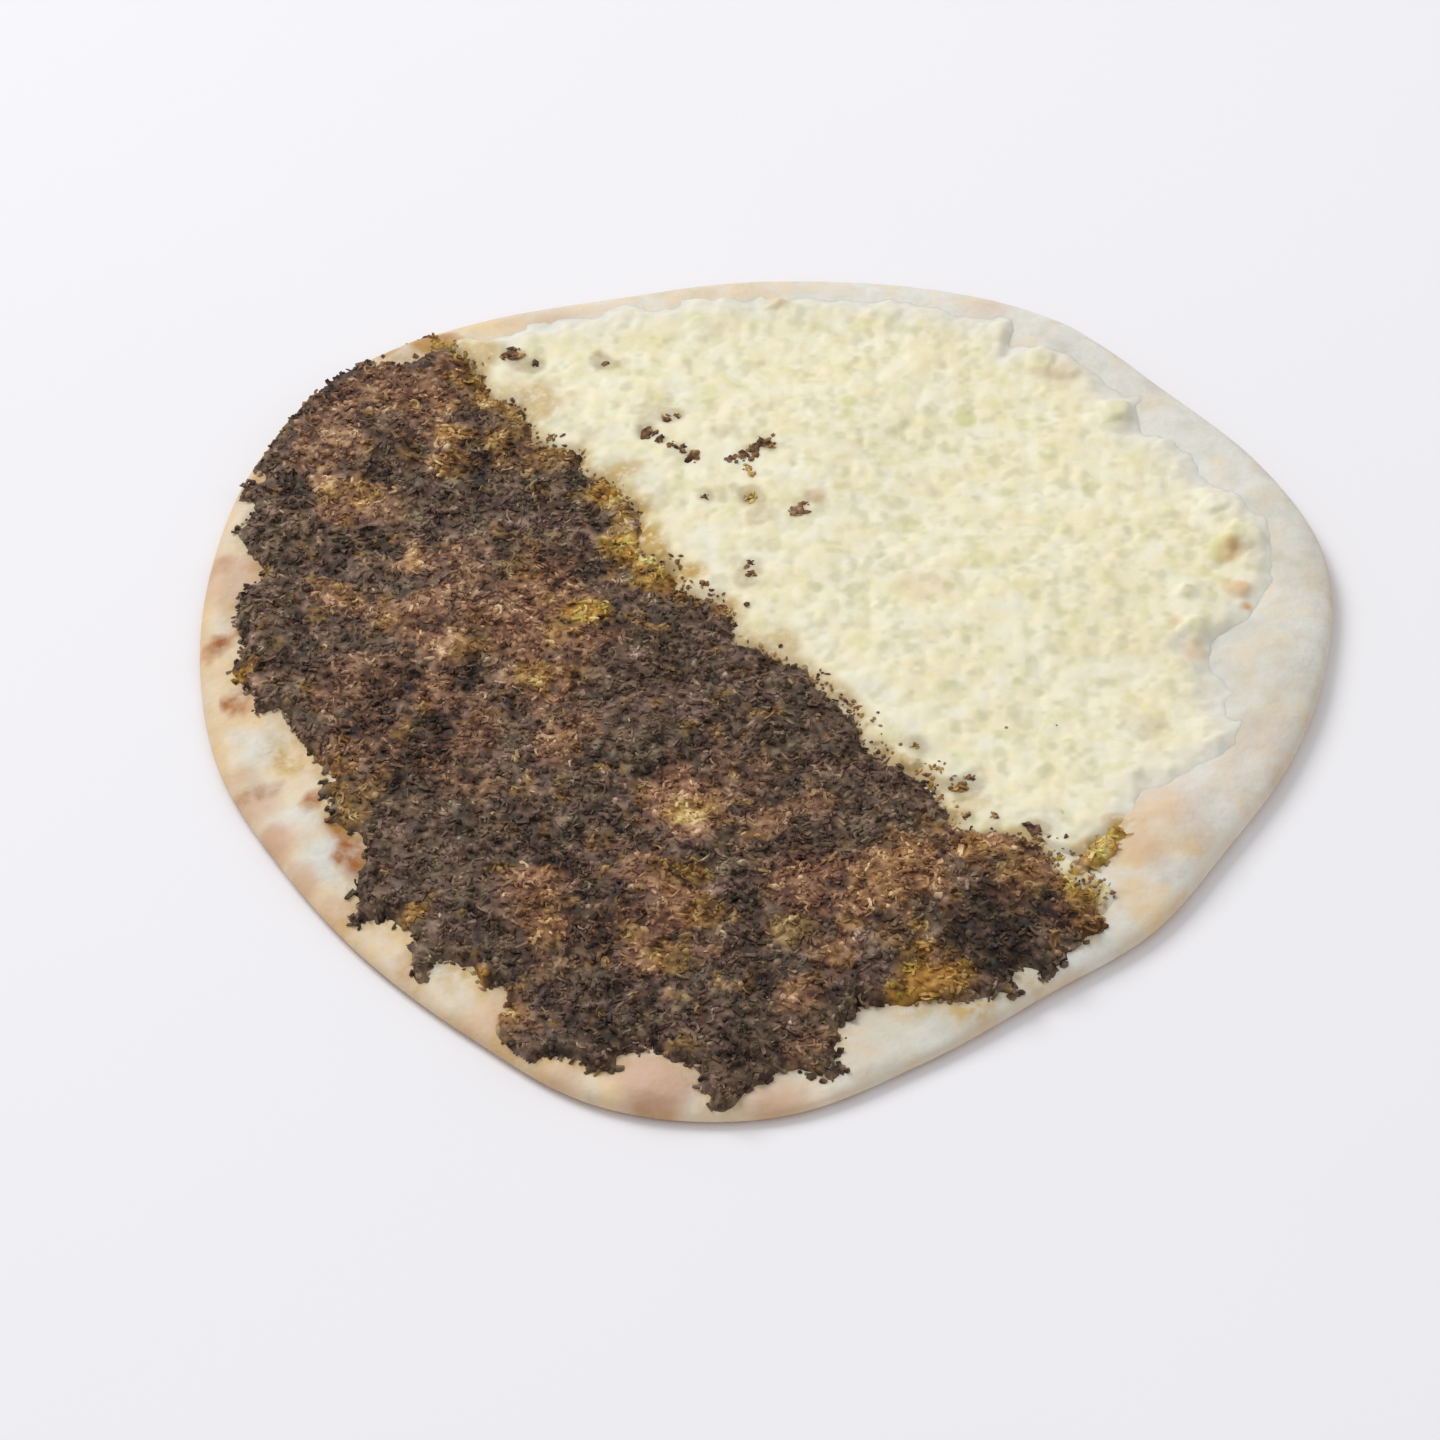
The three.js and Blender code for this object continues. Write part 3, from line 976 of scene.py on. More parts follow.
@dataclass(frozen=True)
class DoughFinish:
    """Pale baked dough: floury, faintly mottled, toasted where it bulges."""

    white: Colour = from_srgb(228, 226, 217)
    cream: Colour = from_srgb(233, 206, 165)
    toast: Colour = from_srgb(166, 100, 44)
    # dull grey: random mottling, and the shade painted on slopes turned from the light
    dull_and_shade: Colour = from_srgb(186, 182, 164)
    pink: Colour = from_srgb(208, 168, 142)
    under: Colour = from_srgb(196, 158, 112)
    oil: Colour = from_srgb(196, 160, 84)
    broad_mottle: Cloud = Cloud(13.0, 4.0, 0.35, 0.65, -0.3, 0.3)
    fine_mottle: Cloud = Cloud(5.0, 3.0, 0.35, 0.65, -0.15, 0.15)
    dull_clouds: Cloud = Cloud(7.0, 3.0, 0.45, 0.7, 0.0, 0.3)
    toast_flecks: Cloud = Cloud(3.0, 4.0, 0.3, 0.6, 0.5)
    baked_clouds: Cloud = Cloud(9.0, 5.0, 0.3, 0.7, 0.25)
    soaked_flecks: Cloud = Cloud(3.0, 4.0, 0.3, 0.6)
    gloss: Cloud = Cloud(5.0, 3.0, 0.3, 0.7, 0.62, 0.85)
    flour_size: float = 1.1
    flour_depth: float = 0.12
    dimple_size: float = 6.0
    dimple_depth: float = 0.7
    translucency: float = 0.2
    light_radius: Colour = (1.0, 0.7, 0.45)
    light_depth: float = 1.5

    def material(self) -> bpy.types.Material:
        """Build the material.

        Returns:
            The material, which reads the attributes warm, pinkish, toast, below and stain, and the mask of
            the shade that is painted on the dough in dull grey.
        """
        sheet = NodeSheet("dough_baked")
        mottle = sheet.math("ADD", sheet.cloud(self.broad_mottle), sheet.cloud(self.fine_mottle))
        colour = sheet.mix(sheet.math("ADD", sheet.attribute("warm"), mottle), self.white, self.cream)
        colour = sheet.mix(sheet.cloud(self.dull_clouds), colour, self.dull_and_shade)
        colour = sheet.mix(sheet.attribute("pinkish"), colour, self.pink)
        # painted shade: dull grey on the slopes of the rim and the front that turn from the light
        colour = sheet.mix(sheet.attribute("painted_dough_shade"), colour, self.dull_and_shade)
        for name, clouds, over in (("toast", self.toast_flecks, self.toast),
                                   ("below", self.baked_clouds, self.under),
                                   ("stain", self.soaked_flecks, self.oil)):
            share = sheet.math("MULTIPLY", sheet.attribute(name), sheet.cloud(clouds))
            colour = sheet.mix(share, colour, over)
        flour = sheet.bump(self.flour_size, 4.0, self.flour_depth)
        sheet.dress(colour, self.gloss, sheet.bump(self.dimple_size, 3.0, self.dimple_depth, flour))
        sheet.constants(Subsurface_Weight=self.translucency, Subsurface_Radius=self.light_radius,
                        Subsurface_Scale=self.light_depth * MM, Specular_IOR_Level=0.3)
        return sheet.material


@dataclass(frozen=True)
class ZaatarFinish:
    """Oily paste of dark herbs: grey-brown, rusty on the blisters, golden where oil stands."""

    herbs: tuple[Colour, ...] = (
        from_srgb(32, 20, 13), from_srgb(70, 51, 39), from_srgb(112, 90, 76), from_srgb(156, 131, 114),
        from_srgb(208, 186, 164))
    rust: tuple[Colour, ...] = (
        from_srgb(44, 23, 13), from_srgb(102, 65, 45), from_srgb(155, 113, 82), from_srgb(203, 161, 122),
        from_srgb(238, 206, 168))
    gold: tuple[Colour, ...] = (
        from_srgb(52, 28, 8), from_srgb(112, 72, 22), from_srgb(172, 122, 48), from_srgb(208, 168, 88),
        from_srgb(234, 208, 146))
    stops: tuple[float, ...] = (0.0, 0.25, 0.52, 0.8, 1.0)
    no_cast: Colour = (1.0, 1.0, 1.0)
    warm_cast: Colour = (1.03, 0.99, 0.82)
    cool_cast: Colour = (1.02, 0.95, 0.98)
    green_cast: Colour = (0.9, 0.97, 0.84)
    olive_cast: Colour = (0.86, 1.02, 0.8)
    fine_mottle: Cloud = Cloud(2.4, 3.0, 0.3, 0.7, -0.25, 0.25, 0.5)
    broad_mottle: Cloud = Cloud(5.5, 2.0, 0.3, 0.7, -0.2, 0.2, 0.5)
    cool_clouds: Cloud = Cloud(6.0, 3.0, 0.42, 0.58)
    green_clouds: Cloud = Cloud(8.0, 3.0, 0.48, 0.6)
    olive_clouds: Cloud = Cloud(5.0, 2.0, 0.45, 0.6)
    gloss: Cloud = Cloud(3.0, 3.0, 0.3, 0.7, 0.42, 0.72)
    grit_size: float = 0.9
    grit_depth: float = 0.12
    paste_tone: float = 0.4
    darkening: float = 0.3

    def material(self, name: str, toned: bool) -> bpy.types.Material:
        """Build the material.

        Args:
            name: the material's name.
            toned: whether the piece stores a tone for each of its bits.

        Returns:
            The material, which reads the attributes rusty, golden, shade and, if toned, tone.
        """
        sheet = NodeSheet(name)
        mottle = sheet.math("ADD", sheet.cloud(self.fine_mottle), sheet.cloud(self.broad_mottle))
        tone = sheet.math("ADD", sheet.attribute("tone") if toned else self.paste_tone, mottle)
        # shade darkens the tone: darker patches of paste, and the shade painted into the creases between
        # its clumps
        darker = sheet.math("MULTIPLY", sheet.attribute("shade"), self.darkening)
        tone = sheet.math("SUBTRACT", tone, darker)
        herbs, rust, gold = (sheet.ramp(tone, self.stops, colours)
                             for colours in (self.herbs, self.rust, self.gold))
        cast = sheet.mix(sheet.cloud(self.cool_clouds), self.warm_cast, self.cool_cast)
        cast = sheet.mix(sheet.cloud(self.green_clouds), cast, self.green_cast)
        colour = sheet.mix(1.0, herbs, cast, "MULTIPLY")
        colour = sheet.mix(sheet.attribute("rusty"), colour, rust)
        olive = sheet.mix(sheet.cloud(self.olive_clouds), self.no_cast, self.olive_cast)
        colour = sheet.mix(sheet.attribute("golden"), colour, sheet.mix(1.0, gold, olive, "MULTIPLY"))
        sheet.dress(colour, self.gloss, sheet.bump(self.grit_size, 2.0, self.grit_depth))
        sheet.constants(Specular_IOR_Level=0.3)
        return sheet.material


@dataclass(frozen=True)
class CheeseFinish:
    """Baked white cheese: cream, faintly green and tan in places, moist and a little see-through."""

    cream: Colour = from_srgb(243, 232, 196)
    white: Colour = from_srgb(243, 238, 216)
    green: Colour = from_srgb(220, 216, 158)
    # painted shade, for the creases and dots between the curds
    shaded: Colour = from_srgb(204, 200, 164)
    film: Colour = from_srgb(226, 223, 212)
    herbs: Colour = from_srgb(150, 126, 76)
    tan: Colour = from_srgb(214, 172, 122)
    oil: Colour = from_srgb(190, 154, 78)
    green_clouds: Cloud = Cloud(6.0, 3.0, 0.5, 0.72, 0.0, 0.6)
    soaked_flecks: Cloud = Cloud(2.0, 3.0, 0.15, 0.5)
    herb_flecks: Cloud = Cloud(1.6, 3.0, 0.2, 0.5, 0.5)
    gloss: Cloud = Cloud(3.0, 3.0, 0.3, 0.7, 0.5, 0.7)
    pore_size: float = 1.2
    pore_depth: float = 0.08
    translucency: float = 0.6
    light_radius: Colour = (1.0, 0.85, 0.55)
    light_depth: float = 2.2

    def material(self) -> bpy.types.Material:
        """Build the material.

        Returns:
            The material, which reads the attributes tint, greened, thin, baked, stain and smear, and the
            mask of the shade painted into the creases and dots between the curds.
        """
        sheet = NodeSheet("cheese_melted")
        colour = sheet.mix(sheet.attribute("tint"), self.cream, self.white)
        greened = sheet.math("MAXIMUM", sheet.cloud(self.green_clouds), sheet.attribute("greened"))
        colour = sheet.mix(greened, colour, self.green)
        # the first of these paints shade into the creases and dots between the curds
        for name, over in (("painted_curd_shade", self.shaded), ("thin", self.film), ("baked", self.tan)):
            colour = sheet.mix(sheet.attribute(name), colour, over)
        for name, clouds, over in (("stain", self.soaked_flecks, self.oil),
                                   ("smear", self.herb_flecks, self.herbs)):
            share = sheet.math("MULTIPLY", sheet.attribute(name), sheet.cloud(clouds))
            colour = sheet.mix(share, colour, over)
        sheet.dress(colour, self.gloss, sheet.bump(self.pore_size, 3.0, self.pore_depth))
        sheet.constants(Subsurface_Weight=self.translucency, Subsurface_Radius=self.light_radius,
                        Subsurface_Scale=self.light_depth * MM, Specular_IOR_Level=0.35)
        return sheet.material


@dataclass(frozen=True)
class FloorFinish:
    """A plain matte studio floor."""

    pale: Colour = from_srgb(246, 245, 249)
    shade: float = 0.985
    cloud_size: float = 120.0

    def material(self) -> bpy.types.Material:
        """Build the material.

        Returns:
            The material.
        """
        sheet = NodeSheet("studio_floor")
        shaded = tuple(self.shade * part for part in self.pale)
        sheet.put(sheet.shader.inputs["Base Color"],
                  sheet.mix(sheet.noise(self.cloud_size, 2.0), self.pale, shaded))
        sheet.constants(Roughness=0.9, Specular_IOR_Level=0.1)
        return sheet.material


# ---------------------------------------------------------------- the pieces


@dataclass
class Flatbread:
    """The dough, from its rounded rim to its flat underside.

    Spots and stains are X, Y, reach and strength, and puffs X, Y, height and reach.
    """

    segments: int = 360
    rings: int = 140
    inner_share: float = 0.84  # of the rings, up to where the edge starts to round off
    pucker: float = 0.4
    pucker_size: float = 14.0
    pimple: float = 0.14
    pimple_size: float = 3.0
    smooth_edge: float = 4.0
    halo: float = 2.6  # width of the oily ring round the zaatar
    halo_size: float = 7.0
    halo_strength: float = 0.5
    warm_least: float = 0.1
    warm_gain: float = 0.6
    warm_left: float = -95.0
    warm_right: float = 60.0
    browned: float = 0.5
    browned_width: float = 1.8
    browned_extra: float = 2.0  # how much wider the browned edge is at the left
    browned_left: float = -90.0
    browned_right: float = -20.0
    warm_spots: Rows = (
        (-118, -30, 26, 0.8), (-92, -70, 22, 0.5), (-60, -112, 26, 0.8), (-125, 20, 24, 0.9),
        (20, -118, 20, 0.3), (86, -52, 16, 0.45), (84, -62, 11, 1.0), (84, -76, 9, 0.7),
        (-40, -128, 16, 0.9), (0, -132, 12, 0.6), (-85, 106, 14, 0.7), (-50, 118, 12, 0.5),
        (-66, -99, 10, 0.9))
    white_spots: Rows = (
        (-101, -62, 7, 1.0), (-99, -69, 4, 0.8), (-105, -52, 5, 0.7), (-117, -27, 7, 0.6),
        (-88.5, 107.5, 4, 1.0), (-122, 44, 6, 0.5), (-74, -96, 5, 0.6))
    pink_spots: Rows = (
        (-26, -131, 10, 0.8), (-47, -128, 8, 0.5), (0, -134, 9, 0.7), (85, -52, 14, 0.3),
        (84, -62, 9, 0.4), (-60, -117, 12, 0.5), (-120, 20, 14, 0.5), (-128, 28, 10, 0.6),
        (-89, 107, 6, 0.3), (-52, 118, 12, 0.35), (56, 121, 10, 0.3), (110, -30, 14, 0.2),
        (-116, -48, 6, 0.7), (-111, -58, 7, 0.9), (-105, -70, 6, 0.6), (-96, -80, 6, 0.5),
        (-119, -38, 5, 0.5))
    # painted shade: dull grey on the right rim and the front slope, where they turn from the light
    painted_shade_spots: Rows = (
        (22, -115, 18, 0.25), (38, -110, 12, 0.2), (52, -104, 9, 0.2), (4, -122, 10, 0.2),
        (113, -8, 20, 0.25), (121, 30, 16, 0.2), (104, 76, 9, 0.1), (36, -109, 8, 0.35),
        (116, 48, 8, 0.3), (112, 8, 9, 0.3), (110, -22, 8, 0.3))
    puffs: Rows = (
        (-24, -131, 0.9, 6), (-36, -132, -0.6, 3), (-47, -128, 0.6, 5), (-4, -135, 0.4, 4),
        (86, -53, 1.0, 9), (-128, 28, 0.7, 6), (-122, -30, 0.5, 7), (-105, -62, 0.5, 6),
        (-113, -45, -0.4, 4), (68, 112, 0.8, 7), (98, -38, 0.6, 6), (14, -121, 0.6, 7),
        (30, -113, -0.5, 5), (44, -110, 0.5, 6), (-70, -101, 0.5, 5), (118, -5, 0.5, 8),
        (120, 22, -0.4, 6), (108, 72, 0.5, 8), (-89, 107, 0.8, 4), (-84, 110.5, 1.4, 6))
    toast_spots: Rows = (
        (-126, 6, 3.4, 1.0), (-123, 7.5, 2.8, 1.0), (-128, 3.5, 2.4, 0.8), (-124.5, -13.5, 2.8, 1.0),
        (-122, -15.5, 2.4, 0.8), (-120, -11.5, 2.4, 0.6), (-114.5, -43, 3.0, 1.0),
        (-118, -44, 3.0, 0.8), (-111, -42, 2.4, 0.6), (-96, -54, 3.0, 1.0), (-93, -62.5, 4.6, 1.3),
        (-91.5, -67, 3.6, 1.2), (-119.5, 32, 4, 0.6), (-116, 27, 3, 0.6), (-122, 60, 4, 0.5),
        (-128, 36, 5, 0.4), (-27, -137, 5, 0.5), (-82, 111.5, 4, 1.0), (-78, 112, 4, 1.0),
        (-93, 109, 2.4, 0.8), (118, 62, 8, 0.25), (12, -127, 3, 0.4), (-80, -96, 4, 0.4),
        (76, -75, 3.5, 0.5), (-102.5, -45.5, 2.4, 1.0))
    stains: Rows = (
        (-96.6, -38, 7, 0.6), (-109, -33.5, 4, 1.0), (-111, -30.5, 3, 0.8), (-52, -110, 6, 0.6),
        (-80, -82, 5, 0.7), (-66, -99, 6, 0.8), (32, -108, 8, 0.6), (43, -108, 6, 0.8),
        (72, -63, 8, 0.6), (79, -55, 6, 0.9), (-36, 40, 9, 0.6), (-83, 110, 7, 0.9), (-77, 108, 6, 0.9),
        (-112, -29, 5, 0.6))

    def shape(self, obj: bpy.types.Object) -> None:
        """Press the sphere into the bread's form.

        Args:
            obj: the sphere, one metre in radius.
        """
        unit = read_points(obj) * MM
        angle = np.arctan2(unit[:, 1], unit[:, 0])
        polar = np.arccos(np.clip(np.abs(unit[:, 2]), 0.0, 1.0)) / (math.pi / 2)
        shoulder = around(FORM.shoulder_widths, angle)
        flat = FORM.rim(angle) - shoulder
        over = np.clip((polar - self.inner_share) / (1 - self.inner_share), 0.0, 1.0)
        radius = np.where(polar < self.inner_share, flat * polar / self.inner_share,
                          flat + shoulder * np.sin(over * math.pi / 2))
        x, y = radius * np.cos(angle), radius * np.sin(angle)
        above = unit[:, 2] >= 0
        relief = (self.pucker * layered_noise(x, y, self.pucker_size, 31)
                  + self.pimple * layered_noise(x, y, self.pimple_size, 41))
        for px, py, height, reach in self.puffs:
            relief += height * np.exp(-((x - px) ** 2 + (y - py) ** 2) / reach**2)
        relief *= smooth(FORM.inset_from_rim(x, y), 0.0, self.smooth_edge)
        z = np.where(above, FORM.top(x, y) + relief, FORM.underside(x, y))
        write_points(obj, np.column_stack((x, y, z)))
        self.mark(obj, x, y, above)

    def mark(self, obj: bpy.types.Object, x: np.ndarray, y: np.ndarray, above: np.ndarray) -> None:
        """Store where the dough is warm, pink, toasted, stained and browned from below, and where shade is
        painted on it in dull grey.

        Args:
            obj: the piece.
            x: millimetres.
            y: millimetres.
            above: which points are on the top.
        """
        warm = self.warm_least + self.warm_gain * (1 - smooth(x, self.warm_left, self.warm_right))
        whitened = 1 - patches(x, y, self.white_spots, 0.4, 21)
        halo_place = -FORM.zaatar_depth(x, y) + value_noise(x, y, self.halo_size, 15)
        halo = self.halo_strength * (1 - smooth(halo_place, 0.0, self.halo))
        to_left = 1 - smooth(x, self.browned_left, self.browned_right)
        width = self.browned_width + self.browned_extra * to_left
        browned = self.browned * (1 - smooth(FORM.inset_from_rim(x, y), 0.0, width))
        fields = {
            "warm": np.maximum(warm, patches(x, y, self.warm_spots)) * whitened,
            "pinkish": patches(x, y, self.pink_spots, 0.35, 9),
            # painted shade
            "painted_dough_shade": patches(x, y, self.painted_shade_spots, 0.4, 11),
            "toast": patches(x, y, self.toast_spots, 0.8, 13),
            "stain": np.maximum(halo, patches(x, y, self.stains, 0.5, 17)) * above,
            "below": np.where(above, browned, 1.0)}
        for name, values in fields.items():
            write_attribute(obj, name, values)

    def build(self) -> None:
        """Model the bread and dress it."""
        deselect_all()
        bpy.ops.mesh.primitive_uv_sphere_add(segments=self.segments, ring_count=self.rings, radius=1.0)
        obj = named("bread_dough")
        self.shape(obj)
        take(obj)
        bpy.ops.object.shade_smooth()
        finish_piece(obj, Slot.DOUGH, DoughFinish().material(), "flatbread")


@dataclass
class Topping:
    """What both toppings share: a sheet over the dough, cut to an uneven outline."""

    step: float = 0.6  # pitch of the sheet's grid
    margin: float = 0.6  # how far the sheet goes on outside the outline
    ragged: float = 1.1  # depth of the outline's bays
    ragged_size: float = 5.0
    sunk: float = 1.9  # height of the sheet's underside, inside the dough
    rim_clearance: float = 1.0

    def depth(self, x: np.ndarray, y: np.ndarray) -> np.ndarray:
        """Distance inside the smooth outline; each topping gives its own."""
        raise NotImplementedError

    def uneven_depth(self, x: np.ndarray, y: np.ndarray) -> np.ndarray:
        """Distance inside the outline with its small crumbly bays."""
        return self.depth(x, y) + self.ragged * layered_noise(x, y, self.ragged_size, 61, 3)

    def surface(self, x: np.ndarray, y: np.ndarray) -> np.ndarray:
        """Height of the topping's top; each topping gives its own."""
        raise NotImplementedError

    def spots(self, x: np.ndarray, y: np.ndarray) -> dict[str, np.ndarray]:
        """The fields that the finish reads, by name; each topping gives its own."""
        raise NotImplementedError

    def resting_height(self, x: np.ndarray, y: np.ndarray) -> np.ndarray:
        """Height of whichever is on top, the topping or the dough."""
        return np.maximum(self.surface(x, y), FORM.top(x, y))

    def sheet(self, name: str) -> bpy.types.Object:
        """Model the topping's skin.

        Args:
            name: the piece's name.

        Returns:
            The piece, closed by a flat underside inside the dough.
        """
        reach = max(FORM.rim_radii)
        count = int(2 * reach / self.step)
        deselect_all()
        bpy.ops.mesh.primitive_grid_add(x_subdivisions=count, y_subdivisions=count, size=2 * reach * MM)
        obj = named(name)
        x, y, _ = read_points(obj).T
        depth = np.minimum(self.uneven_depth(x, y) + self.margin,
                           FORM.inset_from_rim(x, y) - self.rim_clearance)
        kept = one_region(depth.reshape(count + 1, count + 1)).ravel()
        delete_outside(obj, np.where(kept, 1.0, -1.0))
        points = read_points(obj)
        points[:, 2] = below_ceiling(self.surface(points[:, 0], points[:, 1]))
        write_points(obj, points)
        close_below(obj, self.sunk)
        x, y, _ = read_points(obj).T
        for field, values in self.spots(x, y).items():
            write_attribute(obj, field, values)
        take(obj)
        bpy.ops.object.shade_smooth()
        return obj


@dataclass(frozen=True)
class Strewn:
    """One kind of bit that is strewn over the paste, with the middle and spread of its tones."""

    name: str
    bit: Bit
    count: int
    half_size: tuple[float, float, float]
    tone: float
    tone_spread: float
    seed: int
    least_depth: float  # how far inside the outline it stays
    rise: float  # of its middle above the paste, as a share of its height


@dataclass
class ZaatarTopping(Topping):
    """The dark half: paste, herb flakes, gritty grains, curled leaves and sesame seeds.

    Bare spots and tips are X, Y and radius, and the other spots X, Y, reach and strength.
    """

    step: float = 0.56
    edge_height: float = -0.35
    edge_rise: float = 1.5
    edge_reach: float = 3.0
    swell: float = 0.3
    swell_reach: float = 7.0
    wave: float = 0.3
    wave_size: float = 9.0
    clump: float = 1.35
    clump_reach: float = 2.0
    clump_layers: Rows = ((0.4, 6.0, 71), (0.4, 2.9, 75), (0.2, 1.6, 79))
    # strength of the shade painted into the creases between the clumps, and the clump heights that it spans
    clump_crease_shade: float = 0.85
    crease_depth: tuple[float, float] = (0.1, 0.5)
    gold_fleck: float = 0.45
    gold_fleck_size: float = 3.5
    gold_fleck_range: tuple[float, float] = (0.45, 0.9)
    rounding: float = 1.8
    corners: int = 6
    rim_gap: float = 1.8
    growth: float = 0.25
    growth_limits: tuple[float, float] = (0.5, 1.7)
    stretch: tuple[float, float] = (0.8, 1.2)
    brightening: float = 0.12  # of the tones where the paste is rusty or golden
    tilt: float = 0.65
    rough: float = 0.12
    strewn: tuple[Strewn, ...] = (
        Strewn("zaatar_flakes", Bit.FLAKE, 6500, (0.84, 0.64, 0.4), 0.43, 0.1, 101, -0.6, 0.0),
        Strewn("zaatar_grains", Bit.GRAIN, 4500, (0.74, 0.68, 0.62), 0.43, 0.12, 111, -0.6, -0.1),
        Strewn("zaatar_curls", Bit.CURL, 2000, (0.9, 0.95, 0.7), 0.5, 0.13, 131, 0.5, 0.2),
        Strewn("sesame_seeds", Bit.SEED, 900, (0.98, 0.7, 0.54), 0.6, 0.11, 121, 0.5, 0.1))
    bare_spots: Rows = (
        (-89.5, 106, 3.4), (-94, 106, 2.2), (-86, 109.5, 2.8), (-90.5, 110, 2.8), (-86.5, 112.5, 2.4),
        (-94, 108.5, 2.0), (-95.5, -73, 2.2), (-122.5, 63, 2.4), (54.8, -101.4, 4.2),
        (50.5, -106.5, 3.6), (67, -98.5, 4.6), (74.5, -82, 3.4), (19, -114, 4.2), (17, -119, 2.6),
        (-18.5, -128, 3.6), (-16, -134.5, 3.4), (0.5, -133, 3.8), (3, -128.5, 3.0), (-31, -124, 3.4),
        (-47, -125.5, 3.2), (-86, -84, 3.8), (-81, -87, 2.6), (-71, -98, 3.4), (-58.5, -108, 2.2),
        (-93, -77, 2.2))
    tips: Rows = (
        (60, -94, 3.2), (60.4, -98, 2.4), (60.8, -101, 1.8), (61, -103, 1.4), (65, -74, 3.2),
        (67.5, -69.5, 3.2), (71, -65.5, 3.0), (74.5, -61.5, 3.0), (77, -57.5, 2.8), (-124, 56, 2.0),
        (-120.5, 57, 2.4), (-114.6, -15.5, 3.4), (-97.5, -43, 3.4), (13, -126, 2.8),
        (-37.5, -123.5, 3.2), (-61.5, -100.5, 2.4))
    thin_spots: Rows = (
        (-105.5, 58.5, 4, 1.6), (-100.6, 18, 3, 0.9), (-84, 29, 3.4, 1.0), (-83.5, 34, 2.4, 0.9),
        (-19, -47, 3.5, 0.9), (-18, -54.5, 4, 1.0), (-107, 59, 4.5, 1.0), (-73, 1, 4, 0.8),
        (-93, 49, 4, 0.6), (-44, -26, 2.5, 0.7), (-60, 12, 3, 0.6), (-52, -20, 3, 0.6),
        (9, -72, 3, 0.6), (24, -90, 3, 0.5), (-77, 62, 2.5, 0.5))
    rust_spots: Rows = (
        (-77, 85, 5, 1.4), (-76, 75, 5, 1.4), (-75, 65, 5, 1.2), (-79, 102, 8, 1.0), (-77, 90, 8, 1.0),
        (-77, 78, 8, 1.0), (-76, 67, 7, 1.0), (-95, 88, 14, 0.8), (-88, 97, 10, 0.7),
        (-104, 72, 12, 0.7), (-100, 52, 9, 0.7), (-90, 48, 8, 0.6), (-100, 20, 6, 0.9),
        (-92, 14, 10, 0.9), (-84, 28, 9, 0.9), (-78, 14, 13, 0.9), (-66, 22, 14, 0.8),
        (-56, 25, 13, 0.8), (-50, 15, 12, 0.9), (-60, 4, 15, 0.9), (-72, 2, 10, 0.9),
        (-52, -7, 11, 1.0), (-44, 4, 10, 0.9), (-48, -28, 9, 0.8), (-68, -28, 10, 0.6),
        (-76, -14, 8, 0.7), (-66, -42, 9, 0.5), (-93, -12, 13, 0.6), (-92, -28, 10, 0.6),
        (-118, -8, 6, 0.5), (-20, -48, 10, 1.0), (-16, -57, 9, 0.9), (-2, -52, 7, 0.9),
        (8, -46, 8, 0.8), (-8, -40, 9, 0.4), (-50, -76, 8, 1.0), (-49, -86, 7, 1.0),
        (-55, -112, 9, 0.8), (-48, -100, 8, 0.4), (-28, -72, 10, 0.9), (-18, -82, 11, 1.0),
        (-26, -90, 10, 0.9), (-32, -82, 8, 0.8), (8, -72, 11, 0.9), (20, -80, 15, 1.0),
        (32, -70, 13, 1.0), (46, -66, 12, 1.0), (14, -94, 9, 0.9), (56, -70, 9, 0.8), (66, -82, 7, 0.8),
        (6, -106, 8, 0.8), (9, -117, 7, 0.6))
    gold_spots: Rows = (
        (-77, 86, 4.5, 0.5), (-76, 76, 4.5, 0.5), (-75, 66, 4.5, 0.45), (-66, 92, 6, 0.7),
        (-62, 84, 5, 0.7), (-64, 76, 5, 0.6), (-56, 74, 4, 0.4), (-96, -36, 6, 0.6), (-88, -42, 5, 0.4),
        (-80, 111, 7, 1.0), (-75, 105, 6, 0.8), (-69, 95, 6, 0.7), (-62, 87, 5, 0.6), (-58, 80, 4, 0.5),
        (-77, 98, 6, 0.6), (-76, 87, 6, 0.65), (-76, 77, 6, 0.6), (-75, 66, 5, 0.5), (-104, 55, 5, 0.6),
        (-96, 51, 5, 0.6), (-98, 60, 3, 0.4), (-39, 62, 6, 0.8), (-36, 55, 7, 1.0), (-34, 47, 7, 1.0),
        (-32, 39, 7, 1.0), (-25, 29, 6, 0.9), (-18, 21, 5, 0.7), (-11, 14, 3, 0.5), (2, 1, 4, 0.5),
        (-42, 12, 5, 1.0), (-47, 4, 5, 0.5), (-52, -8, 6, 0.6), (-44, -8, 5, 0.4), (-70, 0, 5, 0.4),
        (-88, 8, 4, 0.4), (-96, 18, 4, 0.4), (-83, 30, 4, 0.3), (-60, 30, 5, 0.3), (-97, -29, 5, 0.6),
        (-98, -42, 5, 0.6), (-93, -50, 4, 0.5), (-78, -82, 4, 0.8), (-62, -100, 4, 0.8),
        (-56, -112, 6, 0.5), (-19, -53, 6, 0.6), (-50, -80, 5, 0.3), (-48, -89, 5, 0.3),
        (-20, -71, 6, 0.6), (-17, -82, 6, 0.6), (-22, -93, 6, 0.5), (-30, -88, 5, 0.4),
        (32, -94, 6, 1.0), (32, -101, 9, 1.0), (27, -105, 6, 1.0), (40, -104, 6, 0.8),
        (32, -88, 4, 0.8), (46, -64, 6, 0.5), (54, -72, 12, 0.35), (4, -86, 5, 0.4), (67, -72, 8, 1.0),
        (71, -66, 7, 1.0), (76, -59, 8, 1.0), (70, -84, 5, 0.45), (-69, 87, 7, 0.75), (-72, 77, 5, 0.5),
        (-72, 97, 7, 0.8), (-68, 104, 5, 0.7), (-60, 70, 6, 0.4), (-49, 70, 7, 0.6),
        (30, -72, 12, 0.25), (-121, -6, 4, 1.0), (-120, -3, 3, 0.7), (-104, -45, 5, 0.7))
